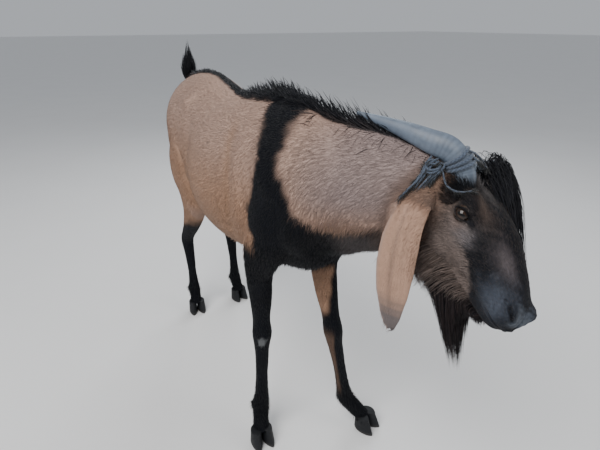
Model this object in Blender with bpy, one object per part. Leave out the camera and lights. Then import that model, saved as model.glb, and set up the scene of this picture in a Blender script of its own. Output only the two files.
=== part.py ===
"""A life-size standing Nubian buck goat with long drooping ears, swept horns, a beard and a maned back.

Metres, +Z up. The animal faces -Y and its left side is +X. The origin is on the floor, below the middle
of the whole model. Places on the animal are given as (forward, left, up) from the middle of the forefeet.
"""

import math

import bmesh
import bpy
import numpy as np
from mathutils import Matrix, Vector
from mathutils.bvhtree import BVHTree

# Driving dimensions of the animal, in metres
FORE_FEET_Y = -0.2025
MIDLINE_X = -0.065
GAP = 0.0003
RIGHT = -1
LEFT = 1

# Fineness of the faceted flesh
VOXEL = 0.0065
FLESH_KEPT = 0.057
HEAD_FINENESS = 0.003
RING_SIDES = 32
ROWS_BETWEEN = 5

# The head: its size, its poll, and how it is turned from straight ahead, bowed and rolled, in degrees
HEAD_SCALE = 1.045
HEAD_ORIGIN = (0.197, 0.162, 0.712)
HEAD_TURN = -17.5
HEAD_BOW = 27.0
HEAD_ROLL = 23.0


def body_point(forward, left, up):
    """A place on the animal, measured from the middle of the forefeet, in the model's own frame."""
    return Vector((MIDLINE_X + left, FORE_FEET_Y - forward, up))


def head_axes():
    """Unit vectors along the nose, out of the forehead and to the animal's left, of the turned head."""
    turn, bow, roll = (math.radians(a) for a in (HEAD_TURN, HEAD_BOW, HEAD_ROLL))
    ahead = Vector((math.sin(turn), -math.cos(turn), 0))
    nose = ahead * math.cos(bow) - Vector((0, 0, 1)) * math.sin(bow)
    brow = ahead * math.sin(bow) + Vector((0, 0, 1)) * math.cos(bow)
    side = brow.cross(nose)
    return nose, brow * math.cos(roll) + side * math.sin(roll), side * math.cos(roll) - brow * math.sin(roll)


UP = Vector((0, 0, 1))
NOSE, BROW, HEAD_SIDE = head_axes()
HEAD_AT = body_point(*HEAD_ORIGIN)


def head_point(along, out, left):
    """A place on the head: along the nose from the poll, out of the forehead, and to the left."""
    return HEAD_AT + (NOSE * along + BROW * out + HEAD_SIDE * left) * HEAD_SCALE


def clear_scene():
    for obj in list(bpy.data.objects):
        bpy.data.objects.remove(obj)


def material(name, color, roughness, metallic=0.0):
    made = bpy.data.materials.new(name)
    made.use_nodes = True
    shader = made.node_tree.nodes["Principled BSDF"]
    shader.inputs["Base Color"].default_value = (*color, 1.0)
    shader.inputs["Roughness"].default_value = roughness
    shader.inputs["Metallic"].default_value = metallic
    return made


def mesh_object(name, points, faces):
    """An object of these points and faces, in triangles, with its faces turned outwards."""
    mesh = bpy.data.meshes.new(name)
    mesh.from_pydata([tuple(p) for p in points], [], faces)
    shell = bmesh.new()
    shell.from_mesh(mesh)
    bmesh.ops.recalc_face_normals(shell, faces=shell.faces)
    bmesh.ops.triangulate(shell, faces=shell.faces)
    shell.to_mesh(mesh)
    shell.free()
    obj = bpy.data.objects.new(name, mesh)
    bpy.context.scene.collection.objects.link(obj)
    return obj


def between(stations, rows):
    """The stations with smooth Catmull-Rom rows between them."""
    s = np.asarray(stations, float)
    ends = np.vstack([2 * s[0] - s[1], s, 2 * s[-1] - s[-2]])
    out = []
    for i in range(len(s) - 1):
        a, b, c, d = ends[i : i + 4]
        second, third = 2 * a - 5 * b + 4 * c - d, 3 * b - a - 3 * c + d
        for t in np.arange(rows) / rows:
            out.append(0.5 * (2 * b + (c - a) * t + second * t**2 + third * t**3))
    out.append(s[-1])
    return np.array(out)


def loft_faces(rows, sides):
    """Quads between the rows of a tube, and one face on each end."""
    faces = []
    for i in range(rows - 1):
        for j in range(sides):
            k = (j + 1) % sides
            faces.append((i * sides + j, i * sides + k, (i + 1) * sides + k, (i + 1) * sides + j))
    faces.append(tuple(range(sides)))
    faces.append(tuple((rows - 1) * sides + j for j in range(sides)))
    return faces


def unit(v):
    return v / np.linalg.norm(v, axis=-1, keepdims=True)


def loft(name, centres, sizes, towards, sides=RING_SIDES, roof=1.0, angles=None):
    """A closed tube along the centres. Each row of sizes is its half width, its height towards the
    reference direction and its depth away from it. A roof over 1 narrows the side it faces.
    The places round a ring are given by their angles, or evenly spaced."""
    centres, sizes = np.asarray(centres, float), np.asarray(sizes, float)
    tangent = unit(np.gradient(centres, axis=0))
    reference = np.broadcast_to(np.asarray(towards, float), centres.shape)
    top = unit(reference - tangent * (reference * tangent).sum(1, keepdims=True))
    side = np.cross(top, tangent)
    angle = np.arange(sides) * 2 * math.pi / sides if angles is None else np.radians(angles)
    cos, sin = np.cos(angle), np.sin(angle)
    across = np.where(sin > 0, np.sign(cos) * np.abs(cos) ** roof, cos)
    height = np.where(sin[None] > 0, sizes[:, 1:2] * sin, sizes[:, 2:3] * sin)
    rings = (
        centres[:, None]
        + side[:, None] * (sizes[:, 0:1] * across)[..., None]
        + top[:, None] * height[..., None]
    )
    return mesh_object(name, rings.reshape(-1, 3), loft_faces(len(centres), len(angle)))


def body_loft(name, stations, towards=(0, 0, 1), sides=RING_SIDES, roof=1.0):
    """A loft through rows of (forward, left, up, half width, height, depth)."""
    rows = between(stations, ROWS_BETWEEN)
    centres = [body_point(*row[:3]) for row in rows]
    return loft(name, centres, rows[:, 3:], towards, sides, roof)


def head_loft(name, stations, sides=RING_SIDES):
    """A loft through rows of (along, out, half width, height, depth) on the head's middle plane."""
    rows = between(stations, ROWS_BETWEEN)
    centres = [head_point(row[0], row[1], 0) for row in rows]
    return loft(name, centres, rows[:, 2:] * HEAD_SCALE, BROW, sides)


def ellipsoid(name, centre, radii, axes, rings=10, segments=14):
    """An ellipsoid with its three radii along these axes."""
    shell = bmesh.new()
    bmesh.ops.create_uvsphere(shell, u_segments=segments, v_segments=rings, radius=1)
    turn = Matrix([Vector(a) * r for a, r in zip(axes, radii)]).transposed().to_4x4()
    shell.transform(Matrix.Translation(centre) @ turn)
    mesh = bpy.data.meshes.new(name)
    bmesh.ops.recalc_face_normals(shell, faces=shell.faces)
    bmesh.ops.triangulate(shell, faces=shell.faces)
    shell.to_mesh(mesh)
    shell.free()
    obj = bpy.data.objects.new(name, mesh)
    bpy.context.scene.collection.objects.link(obj)
    return obj


def head_swelling(name, place, radii):
    """A low rounded form on the head, at a head place."""
    return ellipsoid(name, head_point(*place), [r * HEAD_SCALE for r in radii], HEAD_AXES)


BODY_AXES = (Vector((0, -1, 0)), Vector((1, 0, 0)), Vector((0, 0, 1)))
HEAD_AXES = (NOSE, BROW, HEAD_SIDE)

# Rows of (forward, left, up, half width, height above, depth below) from the buttocks to the chest
TORSO = (
    (-0.808, 0, 0.712, 0.034, 0.040, 0.045),
    (-0.795, 0, 0.708, 0.072, 0.084, 0.090),
    (-0.752, 0, 0.700, 0.102, 0.138, 0.132),
    (-0.680, 0, 0.684, 0.116, 0.174, 0.148),
    (-0.590, 0, 0.664, 0.120, 0.200, 0.150),
    (-0.490, 0, 0.640, 0.130, 0.202, 0.168),
    (-0.385, 0, 0.615, 0.150, 0.212, 0.180),
    (-0.285, 0, 0.615, 0.152, 0.213, 0.176),
    (-0.190, 0, 0.635, 0.136, 0.209, 0.178),
    (-0.110, 0, 0.655, 0.120, 0.195, 0.184),
    (-0.030, 0, 0.655, 0.110, 0.182, 0.180),
    (0.035, 0, 0.640, 0.092, 0.150, 0.152),
    (0.072, 0, 0.628, 0.062, 0.095, 0.105),
    (0.086, 0, 0.620, 0.022, 0.035, 0.045),
)
NECK = (
    (-0.170, 0.000, 0.700, 0.080, 0.125, 0.140),
    (-0.060, 0.003, 0.692, 0.084, 0.144, 0.160),
    (0.020, 0.018, 0.690, 0.078, 0.137, 0.150),
    (0.095, 0.052, 0.694, 0.068, 0.122, 0.124),
    (0.150, 0.090, 0.694, 0.060, 0.108, 0.108),
    (0.190, 0.122, 0.694, 0.055, 0.088, 0.096),
    (0.218, 0.146, 0.692, 0.046, 0.064, 0.078),
)
# Rows of (along, out, half width, height, depth) from the poll to the nose tip
FACE = (
    (-0.034, -0.014, 0.016, 0.014, 0.020),
    (-0.022, -0.012, 0.038, 0.036, 0.046),
    (0.008, -0.008, 0.050, 0.046, 0.062),
    (0.045, -0.006, 0.056, 0.054, 0.074),
    (0.080, -0.006, 0.057, 0.058, 0.076),
    (0.110, -0.006, 0.050, 0.060, 0.064),
    (0.142, -0.006, 0.042, 0.058, 0.052),
    (0.172, -0.008, 0.037, 0.050, 0.042),
    (0.200, -0.010, 0.033, 0.041, 0.037),
    (0.226, -0.013, 0.030, 0.030, 0.033),
    (0.244, -0.016, 0.024, 0.021, 0.026),
    (0.256, -0.015, 0.011, 0.010, 0.011),
)
JAW = (
    (0.030, -0.062, 0.032, 0.020, 0.022),
    (0.060, -0.068, 0.039, 0.024, 0.030),
    (0.100, -0.063, 0.034, 0.022, 0.027),
    (0.145, -0.055, 0.026, 0.018, 0.022),
    (0.185, -0.048, 0.022, 0.016, 0.018),
    (0.216, -0.044, 0.022, 0.018, 0.018),
    (0.236, -0.041, 0.018, 0.015, 0.015),
    (0.246, -0.039, 0.008, 0.006, 0.006),
)
EYE_ALONG, EYE_OUT, EYE_SIDE, EYE_RADIUS = 0.088, 0.022, 0.052, 0.0145

# Where each foot stands: (forward, left, turn of the toe outwards in degrees)
FEET = {
    "foreleg_right": (-0.046, -0.130, 4),
    "foreleg_left": (0.050, 0.130, 20),
    "hindleg_right": (-0.690, -0.084, 8),
    "hindleg_left": (-0.690, 0.084, 8),
}
# Leg rows of (forward, left, up, half width, depth in front, depth behind)
FORELEG_RIGHT = (
    (-0.050, -0.082, 0.660, 0.036, 0.060, 0.062),
    (-0.050, -0.090, 0.590, 0.042, 0.066, 0.074),
    (-0.082, -0.093, 0.525, 0.038, 0.056, 0.064),
    (-0.104, -0.091, 0.468, 0.033, 0.042, 0.050),
    (-0.103, -0.091, 0.400, 0.027, 0.034, 0.034),
    (-0.100, -0.093, 0.338, 0.022, 0.024, 0.023),
    (-0.098, -0.094, 0.298, 0.025, 0.026, 0.021),
    (-0.095, -0.097, 0.256, 0.020, 0.019, 0.020),
    (-0.090, -0.102, 0.180, 0.0165, 0.0155, 0.019),
    (-0.087, -0.107, 0.112, 0.018, 0.017, 0.020),
    (-0.084, -0.111, 0.084, 0.021, 0.019, 0.023),
    (-0.068, -0.120, 0.055, 0.020, 0.018, 0.022),
    (-0.056, -0.126, 0.030, 0.023, 0.024, 0.022),
    (-0.052, -0.128, 0.014, 0.018, 0.020, 0.018),
)
FORELEG_LEFT = (
    (-0.050, 0.078, 0.660, 0.036, 0.060, 0.062),
    (-0.045, 0.084, 0.590, 0.042, 0.066, 0.074),
    (-0.070, 0.080, 0.525, 0.038, 0.056, 0.064),
    (-0.078, 0.070, 0.468, 0.033, 0.042, 0.050),
    (-0.055, 0.062, 0.400, 0.027, 0.034, 0.034),
    (-0.030, 0.060, 0.338, 0.022, 0.024, 0.023),
    (-0.020, 0.061, 0.298, 0.025, 0.026, 0.021),
    (-0.012, 0.065, 0.256, 0.020, 0.019, 0.020),
    (-0.002, 0.076, 0.180, 0.0165, 0.0155, 0.019),
    (0.004, 0.086, 0.112, 0.018, 0.017, 0.020),
    (0.008, 0.092, 0.084, 0.021, 0.019, 0.023),
    (0.026, 0.110, 0.055, 0.020, 0.018, 0.022),
    (0.038, 0.122, 0.030, 0.023, 0.024, 0.022),
    (0.042, 0.126, 0.014, 0.018, 0.020, 0.018),
)
HINDLEG = (
    (-0.630, 0.062, 0.700, 0.040, 0.070, 0.080),
    (-0.610, 0.078, 0.630, 0.052, 0.090, 0.130),
    (-0.580, 0.084, 0.565, 0.052, 0.082, 0.130),
    (-0.570, 0.086, 0.505, 0.044, 0.068, 0.095),
    (-0.600, 0.084, 0.440, 0.034, 0.050, 0.060),
    (-0.650, 0.082, 0.375, 0.026, 0.036, 0.036),
    (-0.705, 0.081, 0.315, 0.021, 0.026, 0.028),
    (-0.730, 0.081, 0.280, 0.022, 0.024, 0.026),
    (-0.726, 0.081, 0.235, 0.019, 0.021, 0.021),
    (-0.718, 0.081, 0.165, 0.016, 0.017, 0.017),
    (-0.714, 0.081, 0.108, 0.017, 0.018, 0.018),
    (-0.712, 0.081, 0.084, 0.020, 0.019, 0.021),
    (-0.700, 0.083, 0.055, 0.019, 0.018, 0.020),
    (-0.692, 0.084, 0.030, 0.022, 0.023, 0.022),
    (-0.690, 0.084, 0.014, 0.018, 0.018, 0.018),
)


# The small claws behind each pastern: (forward, left) of each pair, then their places and size
DEWCLAWS = {
    "foreleg_right": (-0.101, -0.114),
    "foreleg_left": (-0.010, 0.096),
    "hindleg_right": (-0.734, -0.082),
    "hindleg_left": (-0.734, 0.082),
}
DEWCLAW_SPREAD, DEWCLAW_HEIGHT, DEWCLAW_RADII = 0.012, 0.078, (0.010, 0.008, 0.012)

# Height, half width, length towards the toe and length towards the heel at each row of one claw
CORONET = 0.044
CLAW = (
    (0.000, 0.0135, 0.034, 0.022),
    (0.005, 0.0145, 0.034, 0.023),
    (0.024, 0.0135, 0.026, 0.022),
    (CORONET - GAP, 0.0125, 0.018, 0.020),
)
CLAW_SPREAD = 0.0148
CLAW_SPLAY = 6
CLAW_SIDES, CLAW_ROOF = 10, 1.5


def mirrored(stations):
    """The same leg rows on the other side."""
    return tuple((f, -l, *rest) for f, l, *rest in stations)


def flesh_pieces():
    """The overlapping tubes and muscles that the flesh is fused from."""
    front = (0, -1, 0)
    pieces = [
        body_loft("torso_form", TORSO, roof=1.15),
        body_loft("neck_form", NECK),
        head_loft("face_form", FACE),
        head_loft("jaw_form", JAW),
        body_loft("foreleg_right_form", FORELEG_RIGHT, front),
        body_loft("foreleg_left_form", FORELEG_LEFT, front),
        body_loft("hindleg_left_form", HINDLEG, front),
        body_loft("hindleg_right_form", mirrored(HINDLEG), front),
    ]
    for side in (RIGHT, LEFT):
        pieces += [
            ellipsoid("shoulder", body_point(-0.060, side * 0.080, 0.672), (0.090, 0.038, 0.118), BODY_AXES),
            ellipsoid("breast", body_point(0.020, side * 0.066, 0.625), (0.052, 0.040, 0.062), BODY_AXES),
            ellipsoid("hip", body_point(-0.570, side * 0.074, 0.762), (0.085, 0.032, 0.044), BODY_AXES),
            ellipsoid("buttock", body_point(-0.722, side * 0.064, 0.650), (0.066, 0.044, 0.104), BODY_AXES),
            head_swelling("cheek", (0.066, -0.040, side * 0.040), (0.048, 0.040, 0.016)),
            head_swelling("eye_rim", (0.088, 0.022, side * 0.044), (0.027, 0.022, 0.0155)),
            head_swelling("brow", (0.072, 0.040, side * 0.038), (0.028, 0.012, 0.018)),
            head_swelling("horn_seat", (0.024, 0.034, side * 0.032), (0.034, 0.019, 0.024)),
            head_swelling("ear_seat", (0.014, -0.008, side * 0.042), (0.020, 0.024, 0.020)),
            head_swelling("nostril_wing", (0.236, -0.004, side * 0.018), (0.018, 0.015, 0.013)),
            head_swelling("upper_lip", (0.230, -0.023, side * 0.017), (0.022, 0.013, 0.016)),
        ]
    for foot, (back, side) in DEWCLAWS.items():
        for half in (RIGHT, LEFT):
            place = body_point(back, side + half * DEWCLAW_SPREAD, DEWCLAW_HEIGHT)
            pieces.append(ellipsoid(foot, place, DEWCLAW_RADII, BODY_AXES, 6, 8))
    pieces.append(ellipsoid("scrotum", body_point(-0.590, 0, 0.470), (0.036, 0.034, 0.062), BODY_AXES))
    return pieces


def joined(name, pieces):
    """The pieces as one object, still as separate shells."""
    shell = bmesh.new()
    for piece in pieces:
        shell.from_mesh(piece.data)
        bpy.data.objects.remove(piece)
    mesh = bpy.data.meshes.new(name)
    shell.to_mesh(mesh)
    shell.free()
    obj = bpy.data.objects.new(name, mesh)
    bpy.context.scene.collection.objects.link(obj)
    return obj


def applied(obj):
    """Bakes the object's modifiers into its mesh."""
    graph = bpy.context.evaluated_depsgraph_get()
    mesh = bpy.data.meshes.new_from_object(obj.evaluated_get(graph))
    obj.modifiers.clear()
    obj.data = mesh
    return obj


def coordinates(mesh):
    points = np.empty(len(mesh.vertices) * 3)
    mesh.vertices.foreach_get("co", points)
    return points.reshape(-1, 3)


def weigh(obj, name, weights):
    """A vertex group with one weight for each vertex, in eleven steps."""
    group = obj.vertex_groups.new(name=name)
    steps = np.round(np.clip(weights, 0, 1) * 10).astype(int)
    for step in range(1, 11):
        group.add([int(i) for i in np.flatnonzero(steps == step)], step / 10, "REPLACE")
    return group


def smooth(obj, times, group=""):
    step = obj.modifiers.new("Smooth", "SMOOTH")
    step.factor = 0.5
    step.iterations = times
    step.vertex_group = group


# Where two forms meet in a crease that the real skin bridges: (place, reach)
JUNCTIONS = (
    (body_point(0.03, 0.0, 0.66), 0.15),
    (body_point(-0.50, 0.10, 0.56), 0.11),
    (body_point(-0.50, -0.10, 0.56), 0.11),
    (body_point(-0.62, 0.0, 0.56), 0.10),
    (body_point(-0.10, 0.09, 0.50), 0.09),
    (body_point(-0.11, -0.09, 0.50), 0.09),
    (body_point(-0.58, 0.08, 0.77), 0.15),
    (body_point(-0.58, -0.08, 0.77), 0.15),
    (body_point(-0.06, 0.10, 0.70), 0.20),
    (body_point(-0.06, -0.10, 0.70), 0.20),
    (body_point(-0.70, 0.06, 0.66), 0.13),
    (body_point(-0.70, -0.06, 0.66), 0.13),
    (head_point(0.01, -0.04, 0.0), 0.085),
    (head_point(0.016, 0.030, -0.036), 0.050),
    (head_point(0.016, 0.030, 0.036), 0.050),
)


def fused_flesh():
    """One closed skin over all the forms, softened in the creases, then thinned to large facets."""
    flesh = joined("flesh", flesh_pieces())
    remesh = flesh.modifiers.new("Remesh", "REMESH")
    remesh.mode = "VOXEL"
    remesh.voxel_size = VOXEL
    applied(flesh)
    points = coordinates(flesh.data)
    near = np.zeros(len(points))
    for place, reach in JUNCTIONS:
        distance = np.linalg.norm(points - np.array(place), axis=1)
        near = np.maximum(near, np.clip(1.6 - 1.6 * distance / reach, 0, 1))
    weigh(flesh, "creases", near)
    smooth(flesh, 4)
    smooth(flesh, 30, "creases")
    applied(flesh)
    flesh.vertex_groups.clear()
    from_head = np.linalg.norm(coordinates(flesh.data) - np.array(head_point(0.13, -0.01, 0)), axis=1)
    weigh(flesh, "plain", np.clip((from_head - 0.12) / 0.12, 0.2, 1.0))
    thin = flesh.modifiers.new("Decimate", "DECIMATE")
    thin.ratio = FLESH_KEPT
    thin.vertex_group = "plain"
    thin.vertex_group_factor = HEAD_FINENESS
    applied(flesh)
    flesh.vertex_groups.clear()
    return flesh


def boolean(obj, other, operation, solver="EXACT"):
    """One applied Boolean. The other object is used up."""
    step = obj.modifiers.new("Boolean", "BOOLEAN")
    step.operation = operation
    step.object = other
    step.solver = solver
    applied(obj)
    bpy.data.objects.remove(other)
    return obj


def islands(obj):
    """The vertex indices of each separate closed surface of the object."""
    shell = bmesh.new()
    shell.from_mesh(obj.data)
    seen, found = set(), []
    for start in shell.verts:
        if start in seen:
            continue
        seen.add(start)
        stack, group = [start], []
        while stack:
            vertex = stack.pop()
            group.append(vertex.index)
            for edge in vertex.link_edges:
                far = edge.other_vert(vertex)
                if far not in seen:
                    seen.add(far)
                    stack.append(far)
        found.append(group)
    shell.free()
    return found


def keep(obj, indices):
    """Removes every vertex but these."""
    shell = bmesh.new()
    shell.from_mesh(obj.data)
    kept = set(indices)
    gone = [v for v in shell.verts if v.index not in kept]
    bmesh.ops.delete(shell, geom=gone, context="VERTS")
    shell.to_mesh(obj.data)
    shell.free()
    return obj


def largest(obj):
    """Keeps only the surface with the most vertices."""
    groups = islands(obj)
    return keep(obj, max(groups, key=len)) if len(groups) > 1 else obj


def copy_of(obj, name):
    twin = bpy.data.objects.new(name, obj.data.copy())
    bpy.context.scene.collection.objects.link(twin)
    return twin


def grown(obj, by):
    """A copy of the object with its skin moved out along the normals."""
    twin = copy_of(obj, obj.name + "_grown")
    step = twin.modifiers.new("Displace", "DISPLACE")
    step.strength = by
    step.mid_level = 0
    return applied(twin)


def clear_of(obj, *owners):
    """Cuts the object back to a hair's breadth from each of its neighbours."""
    for owner in owners:
        boolean(obj, grown(owner, GAP), "DIFFERENCE")
    return largest(obj)


def slab(centre, normal, across, size, thickness=GAP):
    """A thin cutting plate through the centre, its second side along the across direction."""
    normal = Vector(normal).normalized()
    second = (Vector(across) - normal * normal.dot(across)).normalized()
    third = normal.cross(second)
    box = bmesh.new()
    bmesh.ops.create_cube(box, size=1)
    scale = Matrix([normal * thickness, second * size[0], third * size[1]]).transposed().to_4x4()
    box.transform(Matrix.Translation(centre) @ scale)
    mesh = bpy.data.meshes.new("slab")
    bmesh.ops.recalc_face_normals(box, faces=box.faces)
    box.to_mesh(mesh)
    box.free()
    obj = bpy.data.objects.new("slab", mesh)
    bpy.context.scene.collection.objects.link(obj)
    return obj


# Thin cuts that part the flesh: (place, normal, across, size)
CUTS = (
    (body_point(0.085, 0.045, 0.694), Vector((0.30, -0.954, 0)), UP, (0.36, 0.30)),
    (head_point(-0.020, -0.060, 0), NOSE * 0.75 + BROW * 0.25 + HEAD_SIDE * 0.30, HEAD_SIDE, (0.36, 0.50)),
    (body_point(-0.103, -0.091, 0.452), UP, Vector((1, 0, 0)), (0.100, 0.130)),
    (body_point(-0.072, 0.068, 0.452), UP + Vector((0, 0.25, 0)), Vector((1, 0, 0)), (0.100, 0.130)),
    (body_point(-0.596, -0.090, 0.462), Vector((0, -0.35, 0.94)), Vector((1, 0, 0)), (0.110, 0.180)),
    (body_point(-0.596, 0.090, 0.462), Vector((0, -0.35, 0.94)), Vector((1, 0, 0)), (0.110, 0.180)),
)
# A place that lies inside each part of the flesh
INSIDE = {
    "torso": body_point(-0.30, 0, 0.62),
    "neck": body_point(0.120, 0.066, 0.815),
    "head": head_point(0.10, 0.0, 0),
    "foreleg_right": body_point(-0.098, -0.095, 0.30),
    "foreleg_left": body_point(-0.022, 0.061, 0.30),
    "hindleg_right": body_point(-0.725, -0.081, 0.26),
    "hindleg_left": body_point(-0.725, 0.081, 0.26),
}


def parted(flesh):
    """Cuts the flesh into its named parts, each an object of its own."""
    for cut in CUTS:
        boolean(flesh, slab(*cut), "DIFFERENCE")
    below = slab(Vector((0, 0, CORONET - 0.1)), (0, 0, 1), (0, 1, 0), (3, 3), 0.2)
    boolean(flesh, below, "DIFFERENCE")
    points = coordinates(flesh.data)
    groups = [g for g in islands(flesh) if len(g) > 40]
    parts = {}
    for name, place in INSIDE.items():
        nearest = min(groups, key=lambda g: np.linalg.norm(points[g] - np.array(place), axis=1).min())
        part = copy_of(flesh, name)
        parts[name] = keep(part, nearest)
    bpy.data.objects.remove(flesh)
    return parts


def tube(name, points, sizes, towards, sides, rows=4):
    """A closed tube through free points, with its sizes eased between the stations."""
    table = between([(*point, *size) for point, size in zip(points, sizes)], rows)
    return loft(name, table[:, :3], table[:, 3:], towards, sides)


# Half depth of the horn from front to back, then its half widths towards and away from the left
HORN_SIZES = (
    (0.0260, 0.019, 0.019),
    (0.0255, 0.018, 0.018),
    (0.0225, 0.0165, 0.0165),
    (0.0190, 0.0145, 0.0145),
    (0.0125, 0.0100, 0.0100),
    (0.0035, 0.0035, 0.0035),
)
# Places on the head (along, out, left) that each horn passes through, from inside its seat to its tip
HORN_PATHS = {
    "horn_right": (
        (0.042, 0.022, -0.030),
        (0.019, 0.046, -0.038),
        (-0.006, 0.062, -0.062),
        (-0.037, 0.051, -0.091),
        (-0.086, 0.028, -0.121),
        (-0.143, -0.002, -0.157),
    ),
    "horn_left": (
        (0.042, 0.022, 0.030),
        (0.019, 0.042, 0.038),
        (-0.009, 0.046, 0.054),
        (-0.037, 0.028, 0.071),
        (-0.072, -0.006, 0.090),
        (-0.104, -0.050, 0.110),
    ),
}


def horn(name):
    """A tapered horn, deeper than it is wide, with its root sunk into the head."""
    points = [head_point(*place) for place in HORN_PATHS[name]]
    return tube(name, points, HORN_SIZES, HEAD_SIDE, 10, 3)


EAR_THICKNESS = 0.0050
# How far down the ear each row is, its half width, and how far its middle bulges outwards
EAR_ROWS = (
    (0.00, 0.016, 0.014),
    (0.08, 0.022, 0.016),
    (0.20, 0.030, 0.013),
    (0.38, 0.0365, 0.010),
    (0.56, 0.0365, 0.008),
    (0.74, 0.0320, 0.007),
    (0.90, 0.0220, 0.005),
    (0.975, 0.0120, 0.003),
    (1.00, 0.0050, 0.001),
)
# Places the ear hangs through: (forward, left, up)
EAR_PATHS = {
    "ear_right": (
        (0.212, 0.098, 0.718),
        (0.213, 0.066, 0.715),
        (0.213, 0.040, 0.679),
        (0.209, 0.030, 0.615),
        (0.206, 0.028, 0.545),
        (0.208, 0.030, 0.460),
    ),
    "ear_left": (
        (0.222, 0.202, 0.682),
        (0.219, 0.230, 0.676),
        (0.214, 0.250, 0.640),
        (0.210, 0.257, 0.582),
        (0.208, 0.258, 0.512),
        (0.209, 0.255, 0.428),
    ),
}


def ear_section(steps=6):
    """Places round one crescent section: (across from -1 to 1, share of the thickness, groove)."""
    across = np.cos(np.linspace(math.pi, 0, steps + 1))
    outer = [(c, 0.5, math.exp(-(((c - 0.1) / 0.22) ** 2))) for c in across]
    inner = [(c, -0.5, 0.0) for c in across[-2:0:-1]]
    return np.array(outer + inner)


def ear(name, side):
    """A long drooping ear, cupped towards the cheek, with a groove down its outer face."""
    path = between([tuple(body_point(*place)) for place in EAR_PATHS[name]], 3)
    steps = np.concatenate([[0], np.cumsum(np.linalg.norm(np.diff(path, axis=0), axis=1))])
    share = steps / steps[-1]
    rows = np.array(EAR_ROWS)
    wide, bulge = (np.interp(share, rows[:, 0], rows[:, i]) for i in (1, 2))
    tangent = unit(np.gradient(path, axis=0))
    out = np.array([side, -0.35, 0.0]) + np.array([0.0, 0.0, 1.0]) * (1 - share[:, None]) ** 3
    out = unit(out - tangent * (out * tangent).sum(1, keepdims=True))
    edge = np.cross(tangent, out)
    section = ear_section()
    across = wide[:, None] * section[:, 0]
    arch = bulge[:, None] * (1 - section[:, 0] ** 2)
    thick = EAR_THICKNESS * section[:, 1] * (0.35 + 0.65 * np.sqrt(1 - section[:, 0] ** 2))
    groove = 0.0022 * section[:, 2] * np.sin(np.pi * share)[:, None]
    height = arch + thick - groove
    rings = path[:, None] + edge[:, None] * across[..., None] + out[:, None] * height[..., None]
    ring_sides = len(section)
    return mesh_object(name, rings.reshape(-1, 3), loft_faces(len(path), ring_sides))


def eye_place(side):
    return head_point(EYE_ALONG, EYE_OUT, side * EYE_SIDE)


def eyeball(name, side, radius=EYE_RADIUS):
    return ellipsoid(name, eye_place(side), (radius, radius, radius), HEAD_AXES, 7, 12)


def lid(side, lift, low, high):
    """A fold of skin that arches over the eyeball, above it or below it."""
    outward = (HEAD_SIDE * side * 0.90 + NOSE * 0.36 + BROW * 0.22).normalized()
    along = (NOSE - outward * NOSE.dot(outward)).normalized()
    over = outward.cross(along)
    over = over if over.dot(BROW) > 0 else -over
    points = []
    for angle in np.radians(np.linspace(low, high, 7)):
        ring = along * math.cos(angle) + over * math.sin(angle) * lift
        points.append(eye_place(side) + (outward * 0.72 + ring * 0.80).normalized() * (EYE_RADIUS + 0.0012))
    sizes = [(w, w, w) for w in (0.0020, 0.0026, 0.0030, 0.0032, 0.0030, 0.0026, 0.0020)]
    return tube("lid", points, sizes, outward, 6, 1)


def mouth_line():
    """A thin tube along the line between the lips, from one corner round the front to the other."""
    half = ((0.160, -0.037, 0.034), (0.185, -0.036, 0.031), (0.212, -0.035, 0.029), (0.236, -0.034, 0.022))
    places = [(a, b, -c) for a, b, c in half] + [(0.250, -0.033, 0.0)] + [(a, b, c) for a, b, c in half[::-1]]
    sizes = [(w, w, w) for w in (0.0012, 0.0022, 0.0026, 0.0028, 0.0030, 0.0028, 0.0026, 0.0022, 0.0012)]
    return tube("mouth", [head_point(*place) for place in places], sizes, BROW, 6, 2)


def nostril(side):
    """A slanting hollow for one nostril."""
    points = [head_point(a, b, side * c) for a, b, c in (
        (0.224, 0.004, 0.030), (0.237, -0.002, 0.028), (0.248, -0.009, 0.020))]
    sizes = ((0.0018, 0.0030, 0.0030), (0.0032, 0.0058, 0.0058), (0.0018, 0.0030, 0.0030))
    return tube("nostril", points, sizes, HEAD_SIDE, 6, 2)


# Long hair: flat tapered locks. Share of the length, of the width and of the thickness at each station
LOCK_ROWS = ((0.0, 0.75, 1.0), (0.34, 1.0, 1.0), (0.72, 0.80, 0.7), (1.0, 0.08, 0.2))
LOCK_ANGLES = (0, 90, 180)
LOCK_SUNK = 0.006
LOCK_BEND = 0.45
GOLDEN_TURN = math.radians(137.5)
RANDOM = np.random.default_rng(11)


def vary(size, part=0.15):
    """The size, a little longer or shorter, as no two locks are alike."""
    return size * RANDOM.uniform(1 - part, 1 + part)


def lock(root, lean, tip, width, thickness, facing):
    """A flat tapered lock that leaves its root along the lean and bends round to its tip."""
    way = tip - root
    turning = lean * way.length * LOCK_BEND
    points = [root + turning * (2 * s * (1 - s)) + way * s * s for s, _, _ in LOCK_ROWS]
    sizes = [(width * w, thickness * t, thickness * t) for _, w, t in LOCK_ROWS]
    return loft("lock", points, sizes, facing, angles=LOCK_ANGLES)


def skin_of(obj):
    """A search tree over the object's surface."""
    return BVHTree.FromPolygons([v.co for v in obj.data.vertices], [f.vertices for f in obj.data.polygons])


def with_locks(obj, locks):
    """Fuses the locks with the object they grow from by one union, so that it stays one closed body."""
    group = bpy.data.collections.new("locks")
    for piece in locks:
        group.objects.link(piece)
    step = obj.modifiers.new("Locks", "BOOLEAN")
    step.operation = "UNION"
    step.operand_type = "COLLECTION"
    step.collection = group
    step.solver = "EXACT"
    applied(obj)
    for piece in locks:
        bpy.data.objects.remove(piece)
    bpy.data.collections.remove(group)
    return largest(obj)


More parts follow.
